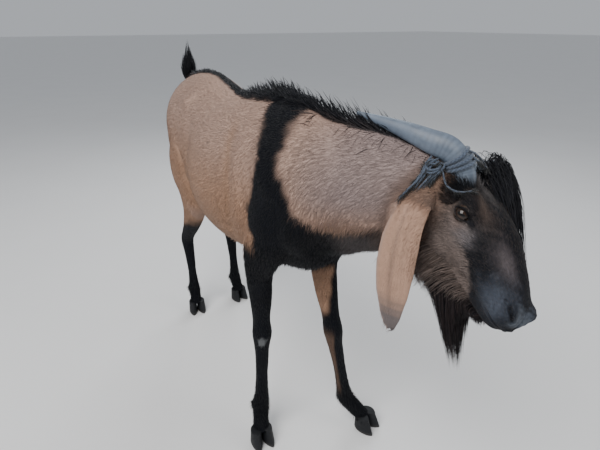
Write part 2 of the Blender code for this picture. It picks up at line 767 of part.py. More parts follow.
BACK = Vector((0, 1, 0))
SIDEWAYS = Vector((1, 0, 0))
MANE_FROM, MANE_TO, MANE_STEP = -0.37, 0.068, 0.0255
MANE_BESIDE, MANE_PARTING = 0.015, 0.30
MANE_LENGTH, MANE_WIDTH, MANE_BROAD, MANE_THICKNESS = 0.060, 0.0125, 0.0165, 0.0032
# The distance over which the mane grows to its full length, and how it drifts, staggers and twists
MANE_GROWTH, MANE_DRIFT, MANE_STAGGER, MANE_TURN = 0.20, 0.030, 0.0028, 0.62


def standing_lock(place, normal, grows, turned):
    """One lock in the middle line of the mane, which stands up and leans backwards."""
    lean = (BACK * 0.55 + UP * 0.85).normalized()
    way = (BACK * 0.86 + UP * 0.42 * grows).normalized()
    face = (SIDEWAYS + (UP - BACK) * turned).normalized()
    tip = place + way * vary(MANE_LENGTH * grows)
    return lock(place - normal * LOCK_SUNK, lean, tip, MANE_WIDTH, MANE_THICKNESS, face)


def lying_lock(place, normal, grows, side):
    """One lock beside the middle line, which lies backwards and a little outwards over the coat."""
    part = SIDEWAYS * side * MANE_PARTING
    lean = (BACK * 0.62 + UP * 0.62 + part).normalized()
    way = (BACK * 0.90 + UP * 0.12 + part).normalized()
    tip = place + way * vary(MANE_LENGTH * grows)
    return lock(place - normal * LOCK_SUNK, lean, tip, MANE_BROAD, MANE_THICKNESS, normal)


def mane(torso):
    """The dark hair along the back and over the withers, leaning backwards and parting sideways."""
    skin = skin_of(torso)
    locks = []
    for i, forward in enumerate(np.arange(MANE_FROM, MANE_TO, MANE_STEP)):
        grows = 0.55 + 0.45 * min(1.0, (forward - MANE_FROM) / MANE_GROWTH)
        swings = (-1) ** i
        middle = MANE_DRIFT * max(0.0, forward) + MANE_STAGGER * swings
        place, normal, _, _ = skin.ray_cast(body_point(forward, middle, 1.2), -UP)
        locks.append(standing_lock(place, normal, grows, MANE_TURN * swings))
        start = body_point(forward + MANE_STEP / 2, middle + swings * MANE_BESIDE, 1.2)
        place, normal, _, _ = skin.ray_cast(start, -UP)
        locks.append(lying_lock(place, normal, grows, swings))
    return locks


CREST_FROM, CREST_TO, CREST_STEPS = (0.110, 0.060), (0.166, 0.106), 5
CREST_LENGTH = 0.048


def crest(neck):
    """Shaggy hair that stands along the neck's crest and falls down both sides."""
    skin = skin_of(neck)
    along = Vector((CREST_TO[1] - CREST_FROM[1], CREST_FROM[0] - CREST_TO[0], 0)).normalized()
    across = along.cross(UP)
    locks = []
    for i in range(CREST_STEPS):
        share = i / (CREST_STEPS - 1)
        forward = CREST_FROM[0] + (CREST_TO[0] - CREST_FROM[0]) * share
        left = CREST_FROM[1] + (CREST_TO[1] - CREST_FROM[1]) * share
        for fall in (-1.0, 0.0, 1.0) if i % 2 else (-1.0, 1.0):
            start = body_point(forward, left, 1.2) + across * fall * 0.014
            place, normal, _, _ = skin.ray_cast(start, -UP)
            lean = (UP * 0.70 + across * fall * 0.60).normalized()
            end = (across * fall * 0.85 + UP * 0.20 - along * (0.80 - 0.45 * abs(fall))).normalized()
            root = place - normal * LOCK_SUNK
            tip = place + end * vary(CREST_LENGTH)
            locks.append(lock(root, lean, tip, MANE_WIDTH, MANE_THICKNESS, normal))
    return locks


# Along the head: the sides on which beard locks grow, their share of the way to the tip, and their spread
BEARD = (
    (0.066, (-1, 0, 1), 0.48, 0.020),
    (0.090, (-1, 1), 0.70, 0.017),
    (0.108, (-1, 0, 1), 0.86, 0.016),
    (0.126, (-1, 0, 1), 1.00, 0.014),
    (0.146, (-1, 0, 1), 0.90, 0.013),
    (0.168, (-1, 1), 0.55, 0.012),
    (0.190, (-1, 0, 1), 0.34, 0.012),
)
BEARD_TIP = body_point(0.338, 0.078, 0.446)
BEARD_WIDTH, BEARD_THICKNESS, BEARD_STAGGER = 0.0120, 0.0034, 0.0035


def beard(head):
    """Long locks that hang from under the jaw and draw together to one tip, bent forwards."""
    skin = skin_of(head)
    locks = []
    for i, (along, lines, share, spread) in enumerate(BEARD):
        stagger = BEARD_STAGGER if i % 2 else -BEARD_STAGGER
        for line in lines:
            place, normal, _, _ = skin.ray_cast(head_point(along, -0.25, line * spread + stagger), BROW)
            beside = HEAD_SIDE * (line * 0.012 + stagger)
            lean = (HEAD_SIDE * line * 0.30 - BROW * 0.55 - UP * 0.75).normalized()
            tip = place + (BEARD_TIP + beside - place) * vary(share * (1.0 if line == 0 else 0.90), 0.05)
            root = place - normal * LOCK_SUNK
            face = HEAD_SIDE if line == 0 else HEAD_SIDE * line
            locks.append(lock(root, lean, tip, BEARD_WIDTH, BEARD_THICKNESS, face))
    return locks


# Rows of roots over the brow: how far along the head, from and to how far left, and how many
FORELOCK = (
    (-0.002, -0.004, 0.012, 2),
    (0.022, -0.006, 0.016, 2),
    (0.044, -0.002, 0.042, 3),
    (0.068, 0.008, 0.044, 3),
    (0.094, 0.022, 0.042, 2),
)
FORELOCK_WIDTH, FORELOCK_THICKNESS = 0.0150, 0.0036


def forelock(head):
    """Locks between the horns that stand out to the far side of the brow and fall down the face."""
    skin = skin_of(head)
    locks = []
    for along, first, last, count in FORELOCK:
        for left in np.linspace(first, last, count):
            place, normal, _, _ = skin.ray_cast(head_point(along, 0.25, left), -BROW)
            lean = (BROW * 0.80 + HEAD_SIDE * 0.35 - NOSE * 0.10).normalized()
            tip = head_point(vary(along + 0.044, 0.08), 0.064 - 0.40 * along, vary(0.060 + left * 0.50, 0.06))
            face = (NOSE * 0.60 + BROW * 0.65 - HEAD_SIDE * 0.15).normalized()
            root = place - normal * LOCK_SUNK
            locks.append(lock(root, lean, tip, FORELOCK_WIDTH, FORELOCK_THICKNESS, face))
    return locks


def seat(owner, *sunk):
    """Hollows the owner so that each sunk piece sits in it with a hair's breadth all round."""
    for piece in sunk:
        boolean(owner, grown(piece, GAP), "DIFFERENCE")
    return largest(owner)


def finished_head(head, roots, eyes):
    """Adds lids, nostrils and the line of the mouth, and seats the horns, ears and eyes."""
    seat(head, *roots)
    for side in (RIGHT, LEFT):
        boolean(head, lid(side, 0.80, 5, 175), "UNION")
        boolean(head, lid(side, -0.62, 5, 175), "UNION")
    seat(head, *eyes)
    for side in (RIGHT, LEFT):
        boolean(head, nostril(side), "DIFFERENCE")
    boolean(head, mouth_line(), "DIFFERENCE")
    return largest(head)


# The short fleshy core of the tail, which the hair reaches well past
TAIL_ROWS = (
    (-0.745, 0, 0.765, 0.015, 0.015, 0.015),
    (-0.772, 0, 0.795, 0.015, 0.016, 0.016),
    (-0.785, 0, 0.825, 0.013, 0.014, 0.015),
    (-0.793, 0, 0.850, 0.009, 0.010, 0.011),
    (-0.797, 0, 0.866, 0.003, 0.004, 0.004),
)
TAIL_LOCKS, TAIL_LENGTH, TAIL_WIDTH = 7, 0.082, 0.0105


def tail():
    """A short tail held upright, its root sunk into the rump, with long hair round its core."""
    core = body_loft("tail", TAIL_ROWS, (0, -1, 0), 8)
    path = between(TAIL_ROWS, 4)
    locks = []
    for i in range(TAIL_LOCKS):
        share = 0.36 + 0.46 * i / TAIL_LOCKS
        root = body_point(*path[int(share * (len(path) - 1))][:3])
        turn = GOLDEN_TURN * i
        out = Vector((math.cos(turn), math.sin(turn), 0))
        lean = (UP * 0.85 + out * 0.50).normalized()
        tip = root + (UP + BACK * 0.22 + out * 0.08) * vary(TAIL_LENGTH - 0.012 * share)
        locks.append(lock(root + out * 0.004, lean, tip, TAIL_WIDTH, 0.0034, out))
    return with_locks(core, locks)


def claw(name, foot, half):
    """One half of a cloven hoof, flat on the ground, its toe pointing forwards and a little outwards."""
    forward, left, turn = FEET[foot]
    side = RIGHT if left < 0 else LEFT
    angle = math.radians(side * turn + half * CLAW_SPLAY)
    toe = Vector((math.sin(angle), -math.cos(angle), 0))
    across = Vector((math.cos(angle), math.sin(angle), 0))
    middle = body_point(forward, left, 0) + across * half * CLAW_SPREAD
    centres = [tuple(middle + UP * height) for height, *_ in CLAW]
    return loft(name, centres, [size for _, *size in CLAW], toe, CLAW_SIDES, CLAW_ROOF)


def hooves():
    made = []
    for foot in FEET:
        base = foot.replace("leg", "hoof")
        for half, word in ((RIGHT, "right"), (LEFT, "left")):
            made.append(claw(f"{base}_{word}_claw", foot, half))
    return made


CORD_RADIUS = 0.0034


def cord_turn(row, steps=10, sides=4):
    """One turn of cord, a closed ring round the right horn at this row of its path."""
    path = between([tuple(head_point(*place)) for place in HORN_PATHS["horn_right"][:4]], 8)
    wide, high, low = between(HORN_SIZES[:4], 8)[row]
    axis = Vector(path[row + 1] - path[row - 1]).normalized()
    top = (HEAD_SIDE - axis * HEAD_SIDE.dot(axis)).normalized()
    flank = top.cross(axis)
    rings = []
    for i in range(steps):
        angle = 2 * math.pi * i / steps
        out = (flank * math.cos(angle) + top * math.sin(angle)).normalized()
        reach = flank * math.cos(angle) * wide + top * math.sin(angle) * high
        centre = Vector(path[row]) + reach + out * (CORD_RADIUS * 0.8)
        for j in range(sides):
            around = 2 * math.pi * j / sides
            rings.append(centre + (out * math.cos(around) + axis * math.sin(around)) * CORD_RADIUS)
    faces = []
    for i in range(steps):
        for j in range(sides):
            k, m = (j + 1) % sides, (i + 1) % steps
            faces.append((i * sides + j, i * sides + k, m * sides + k, m * sides + j))
    return mesh_object("turn", rings, faces)


def strand(name, places, radius=CORD_RADIUS, end=0.5):
    """A frayed end of cord through places on the head."""
    points = [head_point(*place) for place in places]
    sizes = [(radius * (1 - (1 - end) * i / (len(points) - 1)),) * 3 for i in range(len(points))]
    return tube(name, points, sizes, HEAD_SIDE, 5, 2)


# The loose ends: down behind the ear, down past the ear's root, a loop on the brow, and over the poll
STRANDS = (
    ((-0.002, 0.034, -0.072), (-0.010, 0.014, -0.084), (-0.022, -0.010, -0.090), (-0.028, -0.034, -0.096)),
    ((0.006, 0.030, -0.070), (0.004, 0.010, -0.078), (0.006, -0.010, -0.080)),
    ((0.018, 0.040, -0.062), (0.036, 0.030, -0.062), (0.052, 0.034, -0.054), (0.060, 0.044, -0.044)),
    ((0.000, 0.066, -0.040), (0.002, 0.064, -0.016), (0.010, 0.060, 0.006)),
)


def cord(*neighbours):
    """The frayed cord tied round the right horn, with its loose ends, as one piece."""
    body = cord_turn(10)
    for row in (12, 14):
        boolean(body, cord_turn(row), "UNION")
    knot = ellipsoid("knot", head_point(0.000, 0.040, -0.070), (0.013, 0.012, 0.009), HEAD_AXES, 5, 7)
    boolean(body, knot, "UNION")
    for places in STRANDS:
        boolean(body, strand("strand", places), "UNION")
    body.name = "cord"
    return clear_of(body, *neighbours)


SHARP_ANGLE = math.radians(50)
COLORS = {
    "tan": (0.36, 0.27, 0.20),
    "dark": (0.018, 0.018, 0.022),
    "pale": (0.40, 0.31, 0.24),
    "grey_horn": (0.17, 0.18, 0.19),
    "hoof": (0.045, 0.045, 0.048),
    "eye": (0.10, 0.05, 0.015),
    "cord": (0.10, 0.14, 0.20),
}


def dress(obj, made):
    obj.data.materials.clear()
    obj.data.materials.append(made)


def shade_round(obj):
    """Smooth shading, broken only where two faces meet in a real edge."""
    obj.data.shade_smooth()
    obj.data.set_sharp_from_angle(angle=SHARP_ANGLE)


def build():
    clear_scene()
    coat = material("tan_coat", COLORS["tan"], 0.80)
    dark = material("dark_coat", COLORS["dark"], 0.78)
    pale = material("pale_ear", COLORS["pale"], 0.80)
    horny = material("grey_horn", COLORS["grey_horn"], 0.45)
    hoof = material("dark_hoof", COLORS["hoof"], 0.50)
    wet = material("amber_eye", COLORS["eye"], 0.10)
    fibre = material("frayed_cord", COLORS["cord"], 0.85)
    parts = parted(fused_flesh())
    for name in ("torso", "neck", "head"):
        dress(parts[name], coat)
    for name in ("foreleg_right", "foreleg_left", "hindleg_right", "hindleg_left"):
        dress(parts[name], dark)
    horns = [horn(name) for name in HORN_PATHS]
    ears = [ear("ear_right", RIGHT), ear("ear_left", LEFT)]
    eyes = [eyeball("eye_right", RIGHT), eyeball("eye_left", LEFT)]
    for group, made in ((horns, horny), (ears, pale), (eyes, wet)):
        for obj in group:
            dress(obj, made)
    with_locks(parts["head"], [*beard(parts["head"]), *forelock(parts["head"])])
    bare_head = copy_of(parts["head"], "bare_head")
    finished_head(parts["head"], horns + ears, eyes)
    with_locks(parts["neck"], crest(parts["neck"]))
    seat(parts["neck"], *ears, *horns)
    scut = tail()
    dress(scut, dark)
    with_locks(parts["torso"], mane(parts["torso"]))
    seat(parts["torso"], scut, horns[0])
    for obj in hooves():
        dress(obj, hoof)
    dress(cord(bare_head, horns[0], ears[0]), fibre)
    bpy.data.objects.remove(bare_head)
    for obj in bpy.data.objects:
        shade_round(obj)


build()
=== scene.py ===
# %% [markdown]
# # A Nubian buck goat, life size
# The real animal is a standing buck with long hanging ears, swept horns, a beard and a black mane.
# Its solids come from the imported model. Here they get one seamless skin, a coat of fine tufts, long
# locks, wet eyes, ringed horns, ridged hooves and the frayed cord that it wears.

import math

import bmesh
import bpy
import numpy as np
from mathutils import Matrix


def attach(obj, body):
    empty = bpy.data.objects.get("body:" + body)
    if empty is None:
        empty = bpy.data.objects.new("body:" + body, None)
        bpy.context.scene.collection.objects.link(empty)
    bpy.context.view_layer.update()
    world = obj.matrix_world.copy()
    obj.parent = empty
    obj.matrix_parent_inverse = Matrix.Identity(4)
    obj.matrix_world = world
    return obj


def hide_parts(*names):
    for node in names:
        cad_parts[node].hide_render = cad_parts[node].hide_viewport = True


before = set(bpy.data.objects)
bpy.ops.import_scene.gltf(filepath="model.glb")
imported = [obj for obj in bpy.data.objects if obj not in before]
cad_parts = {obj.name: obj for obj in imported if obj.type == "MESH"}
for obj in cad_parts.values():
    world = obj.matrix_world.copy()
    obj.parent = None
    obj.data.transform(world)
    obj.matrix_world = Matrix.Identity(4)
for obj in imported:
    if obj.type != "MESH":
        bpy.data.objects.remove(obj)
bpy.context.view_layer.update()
print("nodes in the frame:", len(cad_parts))

# %% [markdown]
# ## Places on the animal
# Every size below is measured from the middle of the forefeet as (forward, left, up), or on the head
# as (along the nose, out of the forehead, left). Two small functions turn such places into the
# model's own frame, and two turn them back. The markings and the lie of the hair use the way back.

# %% Places and axes
FORE_FEET_Y, MIDLINE_X = -0.2025, -0.065
HEAD_SCALE, HEAD_ORIGIN = 1.045, (0.197, 0.162, 0.712)
HEAD_TURN, HEAD_BOW, HEAD_ROLL = -17.5, 27.0, 23.0
RIGHT, LEFT = SIDES = -1, 1
WORD = {RIGHT: "right", LEFT: "left"}
ACROSS, BACK, UP = np.eye(3)


def unit(v):
    """Each vector divided by its own length."""
    return v / np.maximum(np.linalg.norm(v, axis=-1, keepdims=True), 1e-12)


def flat_on(normal, v):
    """What is left of v without its part along a unit normal: v - normal * (v . normal)."""
    return v - normal * (v * normal).sum(-1, keepdims=True)


def walked_along(path):
    """The length walked from the first point of a path to each of its points."""
    return np.append(0, np.cumsum(np.linalg.norm(np.diff(path, axis=0), axis=1)))


def table(text, per=1000):
    """An array in metres from rows typed in millimetres, or in other parts of one, with commas between."""
    return np.array([row.split() for row in text.split(",")], float) / per


def strokes(text):
    """A stroke for each line: the places that it passes, then after a colon its width and its lift."""
    lines = [line.split(":") for line in text.split("\n") if line.strip()]
    return [(table(path), *table(form)[0]) for path, form in lines]


def body_points(places):
    """(forward, left, up) turned into (x, y, z): x grows to the left, and y grows backwards."""
    p = np.asarray(places, float)
    return np.stack([MIDLINE_X + p[..., 1], FORE_FEET_Y - p[..., 0], p[..., 2]], -1)


def body_places(points):
    """The way back: (forward, left, up) of each point."""
    return np.stack([FORE_FEET_Y - points[:, 1], points[:, 0] - MIDLINE_X, points[:, 2]], 1)


def head_axes():
    """Rows along the nose, out of the forehead and to the left, of a head that is turned, bowed and rolled."""
    turn, bow, roll = np.radians([HEAD_TURN, HEAD_BOW, HEAD_ROLL])
    ahead = ACROSS * math.sin(turn) - BACK * math.cos(turn)
    nose = ahead * math.cos(bow) - UP * math.sin(bow)
    brow = ahead * math.sin(bow) + UP * math.cos(bow)
    side = np.cross(brow, nose)
    out = brow * math.cos(roll) + side * math.sin(roll)
    return np.array([nose, out, side * math.cos(roll) - brow * math.sin(roll)])


HEAD_AXES = head_axes()
NOSE, BROW, SIDE = HEAD_AXES
HEAD_AT = body_points(HEAD_ORIGIN)


def head_points(places):
    """(along, out, left) on the head turned into (x, y, z)."""
    return HEAD_AT + np.asarray(places, float) @ HEAD_AXES * HEAD_SCALE


def head_places(points):
    """The way back: (along, out, left) of each point."""
    return (points - HEAD_AT) @ HEAD_AXES.T / HEAD_SCALE


print("poll of the head at", np.round(HEAD_AT, 3))

# %% [markdown]
# ## Stations of the body
# A sculptor could push the whole body out of one block. Here each large form is a tube through a few
# stations, the same named sizes that the solids were made from, so that skin and solids agree.

# %% Stations of the torso, neck, head and legs
# (forward, left, up, half width, height above, depth below), all in millimetres
TORSO = table("""
    -808 0 712 34 40 45, -795 0 708 72 84 90, -752 0 700 102 138 132, -680 0 684 116 174 148,
    -590 0 664 120 200 150, -490 0 640 130 202 168, -385 0 615 150 212 180, -285 0 615 152 213 176,
    -190 0 635 136 209 178, -110 0 655 120 195 184, -30 0 655 110 182 180, 35 0 640 92 150 152,
    72 0 628 62 95 105, 86 0 620 22 35 45""")
NECK = table("""
    -170 0 700 80 125 140, -60 3 692 84 144 160, 20 18 690 78 137 150, 95 52 694 68 122 124,
    150 90 694 60 108 108, 190 122 694 55 88 96, 218 146 692 46 64 78""")
# (along, out, half width, height, depth)
FACE = table("""
    -34 -14 16 14 20, -22 -12 38 36 46, 8 -8 50 46 62, 45 -6 56 54 74, 80 -6 57 58 76, 110 -6 50 60 64,
    142 -6 42 58 52, 172 -8 37 50 42, 200 -10 33 41 37, 226 -13 30 30 33, 244 -16 24 21 26,
    256 -15 11 10 11""")
JAW = table("""
    30 -62 32 20 22, 60 -68 39 24 30, 100 -63 34 22 27, 145 -55 26 18 22, 185 -48 22 16 18,
    216 -44 22 18 18, 236 -41 18 15 15, 246 -39 8 6 6""")
# (forward, left, up, half width, depth in front, depth behind)
FORELEG_RIGHT = table("""
    -50 -82 660 36 60 62, -50 -90 590 42 66 74, -82 -93 525 38 56 64, -104 -91 468 33 42 50,
    -103 -91 400 27 34 34, -100 -93 338 22 24 23, -98 -94 298 25 26 21, -95 -97 256 20 19 20,
    -90 -102 180 16.5 15.5 19, -87 -107 112 18 17 20, -84 -111 84 21 19 23, -68 -120 55 20 18 22,
    -56 -126 30 23 24 22, -52 -128 14 18 20 18""")
FORELEG_LEFT = np.hstack([table("""
    -50 78 660, -45 84 590, -70 80 525, -78 70 468, -55 62 400, -30 60 338, -20 61 298, -12 65 256,
    -2 76 180, 4 86 112, 8 92 84, 26 110 55, 38 122 30, 42 126 14"""), FORELEG_RIGHT[:, 3:]])
HINDLEG = table("""
    -630 62 700 40 70 80, -610 78 630 52 90 130, -580 84 565 52 82 130, -570 86 505 44 68 95,
    -600 84 440 34 50 60, -650 82 375 26 36 36, -705 81 315 21 26 28, -730 81 280 22 24 26,
    -726 81 235 19 21 21, -718 81 165 16 17 17, -714 81 108 17 18 18, -712 81 84 20 19 21,
    -700 83 55 19 18 20, -692 84 30 22 23 22, -690 84 14 18 18 18""")
TAIL = table("""
    -745 0 765 15 15 15, -772 0 795 15 16 16, -785 0 825 13 14 15, -793 0 850 9 10 11, -797 0 866 3 4 4""")
HINDLEG_RIGHT = HINDLEG * (1, -1, 1, 1, 1, 1)
FORELEGS, HINDLEGS = (FORELEG_RIGHT, FORELEG_LEFT), (HINDLEG, HINDLEG_RIGHT)
print("stations:", sum(map(len, (TORSO, NECK, FACE, JAW, *FORELEGS, HINDLEG, TAIL))))

# %% [markdown]
# ## From stations to a tube
# A tube is a profile carried along a path. Between the stations a Catmull-Rom curve gives smooth
# rows, and each row becomes a ring. A ring has one half width and two heights, because a back is
# flatter than a belly. Everything is worked out as whole arrays.

# %% Tubes and rounded forms
RING_SIDES, ROWS_BETWEEN = 32, 5


def round_angles(sides):
    """The angles of the corners of a ring, which start at 0."""
    return np.arange(sides) * 2 * math.pi / sides


def between(stations, rows):
    """Catmull-Rom rows: half of 2b + (c-a)t + (2a-5b+4c-d)t^2 + (3b-a-3c+d)t^3 for each span from b to c."""
    s = np.asarray(stations, float)
    ends = np.vstack([2 * s[0] - s[1], s, 2 * s[-1] - s[-2]])
    a, b, c, d = ends[:-3, None], ends[1:-2, None], ends[2:-1, None], ends[3:, None]
    t = (np.arange(rows) / rows)[None, :, None]
    curve = 0.5 * (2 * b + (c - a) * t + (2 * a - 5 * b + 4 * c - d) * t**2 + (3 * b - a - 3 * c + d) * t**3)
    return np.vstack([curve.reshape(-1, s.shape[1]), s[-1:]])


def rings(centres, sizes, towards, sides=RING_SIDES, roof=1.0):
    """Ring points: centre + side * half width * cos(angle) + top * height * sin(angle), where the height
    above counts for sin > 0 and the depth below for sin < 0, and a roof over 1 narrows the upper half."""
    tangent = unit(np.gradient(centres, axis=0))
    top = unit(flat_on(tangent, np.asarray(towards, float)))
    side = np.cross(top, tangent)
    cos, sin = np.cos(round_angles(sides)), np.sin(round_angles(sides))
    across = np.where(sin > 0, np.sign(cos) * np.abs(cos) ** roof, cos)
    height = np.where(sin[None] > 0, sizes[:, 1:2] * sin, sizes[:, 2:3] * sin)
    wide = side[:, None] * (sizes[:, :1] * across)[..., None]
    return centres[:, None] + wide + top[:, None] * height[..., None]


def closed(grid):
    """A tube's points and triangles: two triangles for each cell of the grid, and a fan on each end."""
    rows, sides = grid.shape[:2]
    points = np.vstack([grid.reshape(-1, 3), grid[0].mean(0), grid[-1].mean(0)])
    i, j = np.meshgrid(np.arange(rows - 1), np.arange(sides), indexing="ij")
    a, b = (i * sides + j).ravel(), (i * sides + (j + 1) % sides).ravel()
    k = np.arange(sides)
    first = np.stack([np.full(sides, rows * sides), (k + 1) % sides, k], 1)
    last = (rows - 1) * sides + np.stack([np.full(sides, sides + 1), k, (k + 1) % sides], 1)
    cells = np.vstack([np.stack([a, b, b + sides], 1), np.stack([a, b + sides, a + sides], 1)])
    return points, np.vstack([cells, first, last])


def body_tube(stations, towards=(0, 0, 1), roof=1.0):
    rows = between(stations, ROWS_BETWEEN)
    return closed(rings(body_points(rows[:, :3]), rows[:, 3:], towards, RING_SIDES, roof))


def head_tube(stations):
    rows = between(stations, ROWS_BETWEEN)
    places = np.stack([rows[:, 0], rows[:, 1], np.zeros(len(rows))], 1)
    return closed(rings(head_points(places), rows[:, 2:] * HEAD_SCALE, BROW))


def ball_net(rows, sides, cap):
    """Points (cos v, sin v cos u, sin v sin u) of a unit ball, and v, which keeps a cap from both poles."""
    v, u = np.linspace(cap, math.pi - cap, rows)[:, None], round_angles(sides)[None]
    return np.stack([np.cos(v) + 0 * u, np.sin(v) * np.cos(u), np.sin(v) * np.sin(u)], -1), v


def egg(centre, radii, axes):
    """An ellipsoid: centre + axes * radii * each point of the unit ball."""
    return closed(centre + (ball_net(14, 20, 0.02)[0] * radii) @ axes)


def body_egg(place, radii):
    return egg(body_points(place), radii, np.stack([-BACK, ACROSS, UP]))


def head_egg(place, radii):
    return egg(head_points(place), radii * HEAD_SCALE, HEAD_AXES)


# Muscles and bones that swell on both sides: place, then radii. Dew claws: (forward, left)
BODY_SWELLINGS = table("""
    -60 80 672 90 38 118, 20 66 625 52 40 62, -570 74 762 85 32 44, -722 64 650 66 44 104""")
HEAD_SWELLINGS = table("""
    66 -40 40 48 40 16, 88 22 44 27 22 15.5, 72 40 38 28 12 18, 24 34 32 34 19 24, 14 -8 42 20 24 20,
    236 -4 18 18 15 13, 230 -23 17 22 13 16""")
DEWCLAWS = table("-101 -114, -10 96, -734 -82, -734 82")


def flesh_forms():
    """Every tube and swelling of the body, as points and triangles."""
    forms = [body_tube(TORSO, roof=1.15), body_tube(NECK), head_tube(FACE), head_tube(JAW)]
    forms += [body_tube(limb, -BACK) for limb in (*FORELEGS, *HINDLEGS, TAIL)]
    for swell, rows, mirror in (body_egg, BODY_SWELLINGS, (1, -1, 1)), (head_egg, HEAD_SWELLINGS, (1, 1, -1)):
        for row in rows:
            forms += [swell(row[:3], row[3:]), swell(row[:3] * mirror, row[3:])]
    for back, side in DEWCLAWS:
        forms += [body_egg((back, side + half * 0.012, 0.078), (0.010, 0.008, 0.012)) for half in SIDES]
    forms.append(body_egg((-0.590, 0, 0.470), (0.036, 0.034, 0.062)))
    return forms


def stacked(forms):
    """All the forms as one array of points and one of faces, with the faces' numbers shifted."""
    starts = np.cumsum([0] + [len(points) for points, _ in forms[:-1]])
    faces = np.vstack([faces + start for (_, faces), start in zip(forms, starts)])
    return np.vstack([points for points, _ in forms]), faces


def new_piece(name, points, faces):
    """A mesh object from an array of points and one of faces with as many corners each."""
    mesh = bpy.data.meshes.new(name)
    mesh.vertices.add(len(points))
    mesh.vertices.foreach_set("co", points.astype(np.float32).ravel())
    mesh.loops.add(faces.size)
    mesh.loops.foreach_set("vertex_index", faces.astype(np.int32).ravel())
    mesh.polygons.add(len(faces))
    mesh.polygons.foreach_set("loop_start", np.arange(0, faces.size, faces.shape[1], dtype=np.int32))
    mesh.update(calc_edges=True)
    mesh.shade_smooth()
    obj = bpy.data.objects.new(name, mesh)
    bpy.context.scene.collection.objects.link(obj)
    return obj


skin = new_piece("skin", *stacked(flesh_forms()))
print("forms joined:", len(skin.data.polygons), "faces")

# %% [markdown]
# ## One skin over all the forms
# Real skin bridges the creases where muscles meet. Blender's voxel remesh wraps all the overlapping
# forms in one even net, and smoothing that is strongest at the shoulders, hips and throat bridges
# the creases. It is the quickest way to one closed body, and it keeps each form where it was put.

# %% Fuse and soften the flesh
VOXEL = 0.0065


def applied(obj):
    """Bakes the object's modifiers into its mesh."""
    graph = bpy.context.evaluated_depsgraph_get()
    mesh = bpy.data.meshes.new_from_object(obj.evaluated_get(graph))
    obj.modifiers.clear()
    obj.data = mesh
    return obj


def read(items, name, width=3, kind=np.float32):
    """One property of all the vertices, edges or corners of a mesh, with this many numbers for each."""
    values = np.empty(len(items) * width, kind)
    items.foreach_get(name, values)
    return values.reshape(-1, width)


def coordinates(obj):
    return read(obj.data.vertices, "co").astype(float)


def normals_of(obj):
    return read(obj.data.vertex_normals, "vector").astype(float)


def move(obj, points):
    obj.data.vertices.foreach_set("co", points.astype(np.float32).ravel())
    obj.data.update()


def smooth(obj, times, weights=None):
    """Moves every vertex half way to the middle of its neighbours, this many times, by its weight."""
    step = obj.modifiers.new("Smooth", "SMOOTH")
    step.factor, step.iterations = 0.5, times
    if weights is not None:
        group = obj.vertex_groups.new(name="where")
        levels = np.round(np.clip(weights, 0, 1) * 10).astype(int)
        for level in range(1, 11):
            group.add(np.flatnonzero(levels == level).tolist(), level / 10, "REPLACE")
        step.vertex_group = "where"
    applied(obj)
    obj.vertex_groups.clear()


def nearness(points, places, reach):
    """1 at any of the places, falling to 0 at its reach."""
    near = np.zeros(len(points))
    for place, size in zip(places, reach):
        near = np.maximum(near, np.clip(1.6 - 1.6 * np.linalg.norm(points - place, axis=1) / size, 0, 1))
    return near


BODY_CREASES = table("""
    30 0 660 150, -500 100 560 110, -500 -100 560 110, -620 0 560 100, -100 90 500 90, -110 -90 500 90,
    -580 80 770 150, -580 -80 770 150, -60 100 700 200, -60 -100 700 200, -700 60 660 130,
    -700 -60 660 130""")
HEAD_CREASES = table("10 -40 0 85, 16 30 -36 50, 16 30 36 50")
CREASES = np.vstack([body_points(BODY_CREASES[:, :3]), head_points(HEAD_CREASES[:, :3])])
CREASE_REACH = np.concatenate([BODY_CREASES[:, 3], HEAD_CREASES[:, 3]])

remesh = skin.modifiers.new("Remesh", "REMESH")
remesh.mode, remesh.voxel_size = "VOXEL", VOXEL
applied(skin)
smooth(skin, 4)
smooth(skin, 30, nearness(coordinates(skin), CREASES, CREASE_REACH))
print("fused skin:", len(skin.data.polygons), "faces")

# %% [markdown]
# ## The ears
# A Nubian's ear is a long soft leaf, cupped towards the cheek, with a groove down its outer face and
# a rolled front rim. It is a crescent carried down a hanging path: outer and inner face are the same
# arch a few millimetres apart. Both ears are joined to the skin by a union, so that no seam shows.

# %% Ears
EAR_THICKNESS = 0.0046
# (share of the way down, half width, how far the middle bulges outwards)
EAR_ROWS = table("""
    0 16 14, 80 22 16, 200 30 13, 380 36.5 10, 560 36.5 8, 740 32 7, 900 22 5, 975 12 3, 1000 5 1""")
EAR_PATHS = {
    RIGHT: table("212 98 718, 213 66 715, 213 40 679, 209 30 615, 206 28 545, 208 30 460"),
    LEFT: table("222 202 682, 219 230 676, 214 250 640, 210 257 582, 208 258 512, 209 255 428"),
}


def ear_frame(side, rows):
    """The ear's path, its share of the way down, and its directions down, outwards and towards its edge."""
    path = body_points(between(EAR_PATHS[side], rows))
    walked = walked_along(path)
    share = walked / walked[-1]
    down = unit(np.gradient(path, axis=0))
    out = unit(flat_on(down, ACROSS * side - BACK * 0.35 + UP * (1 - share[:, None]) ** 3))
    return path, share, down, out, np.cross(down, out)


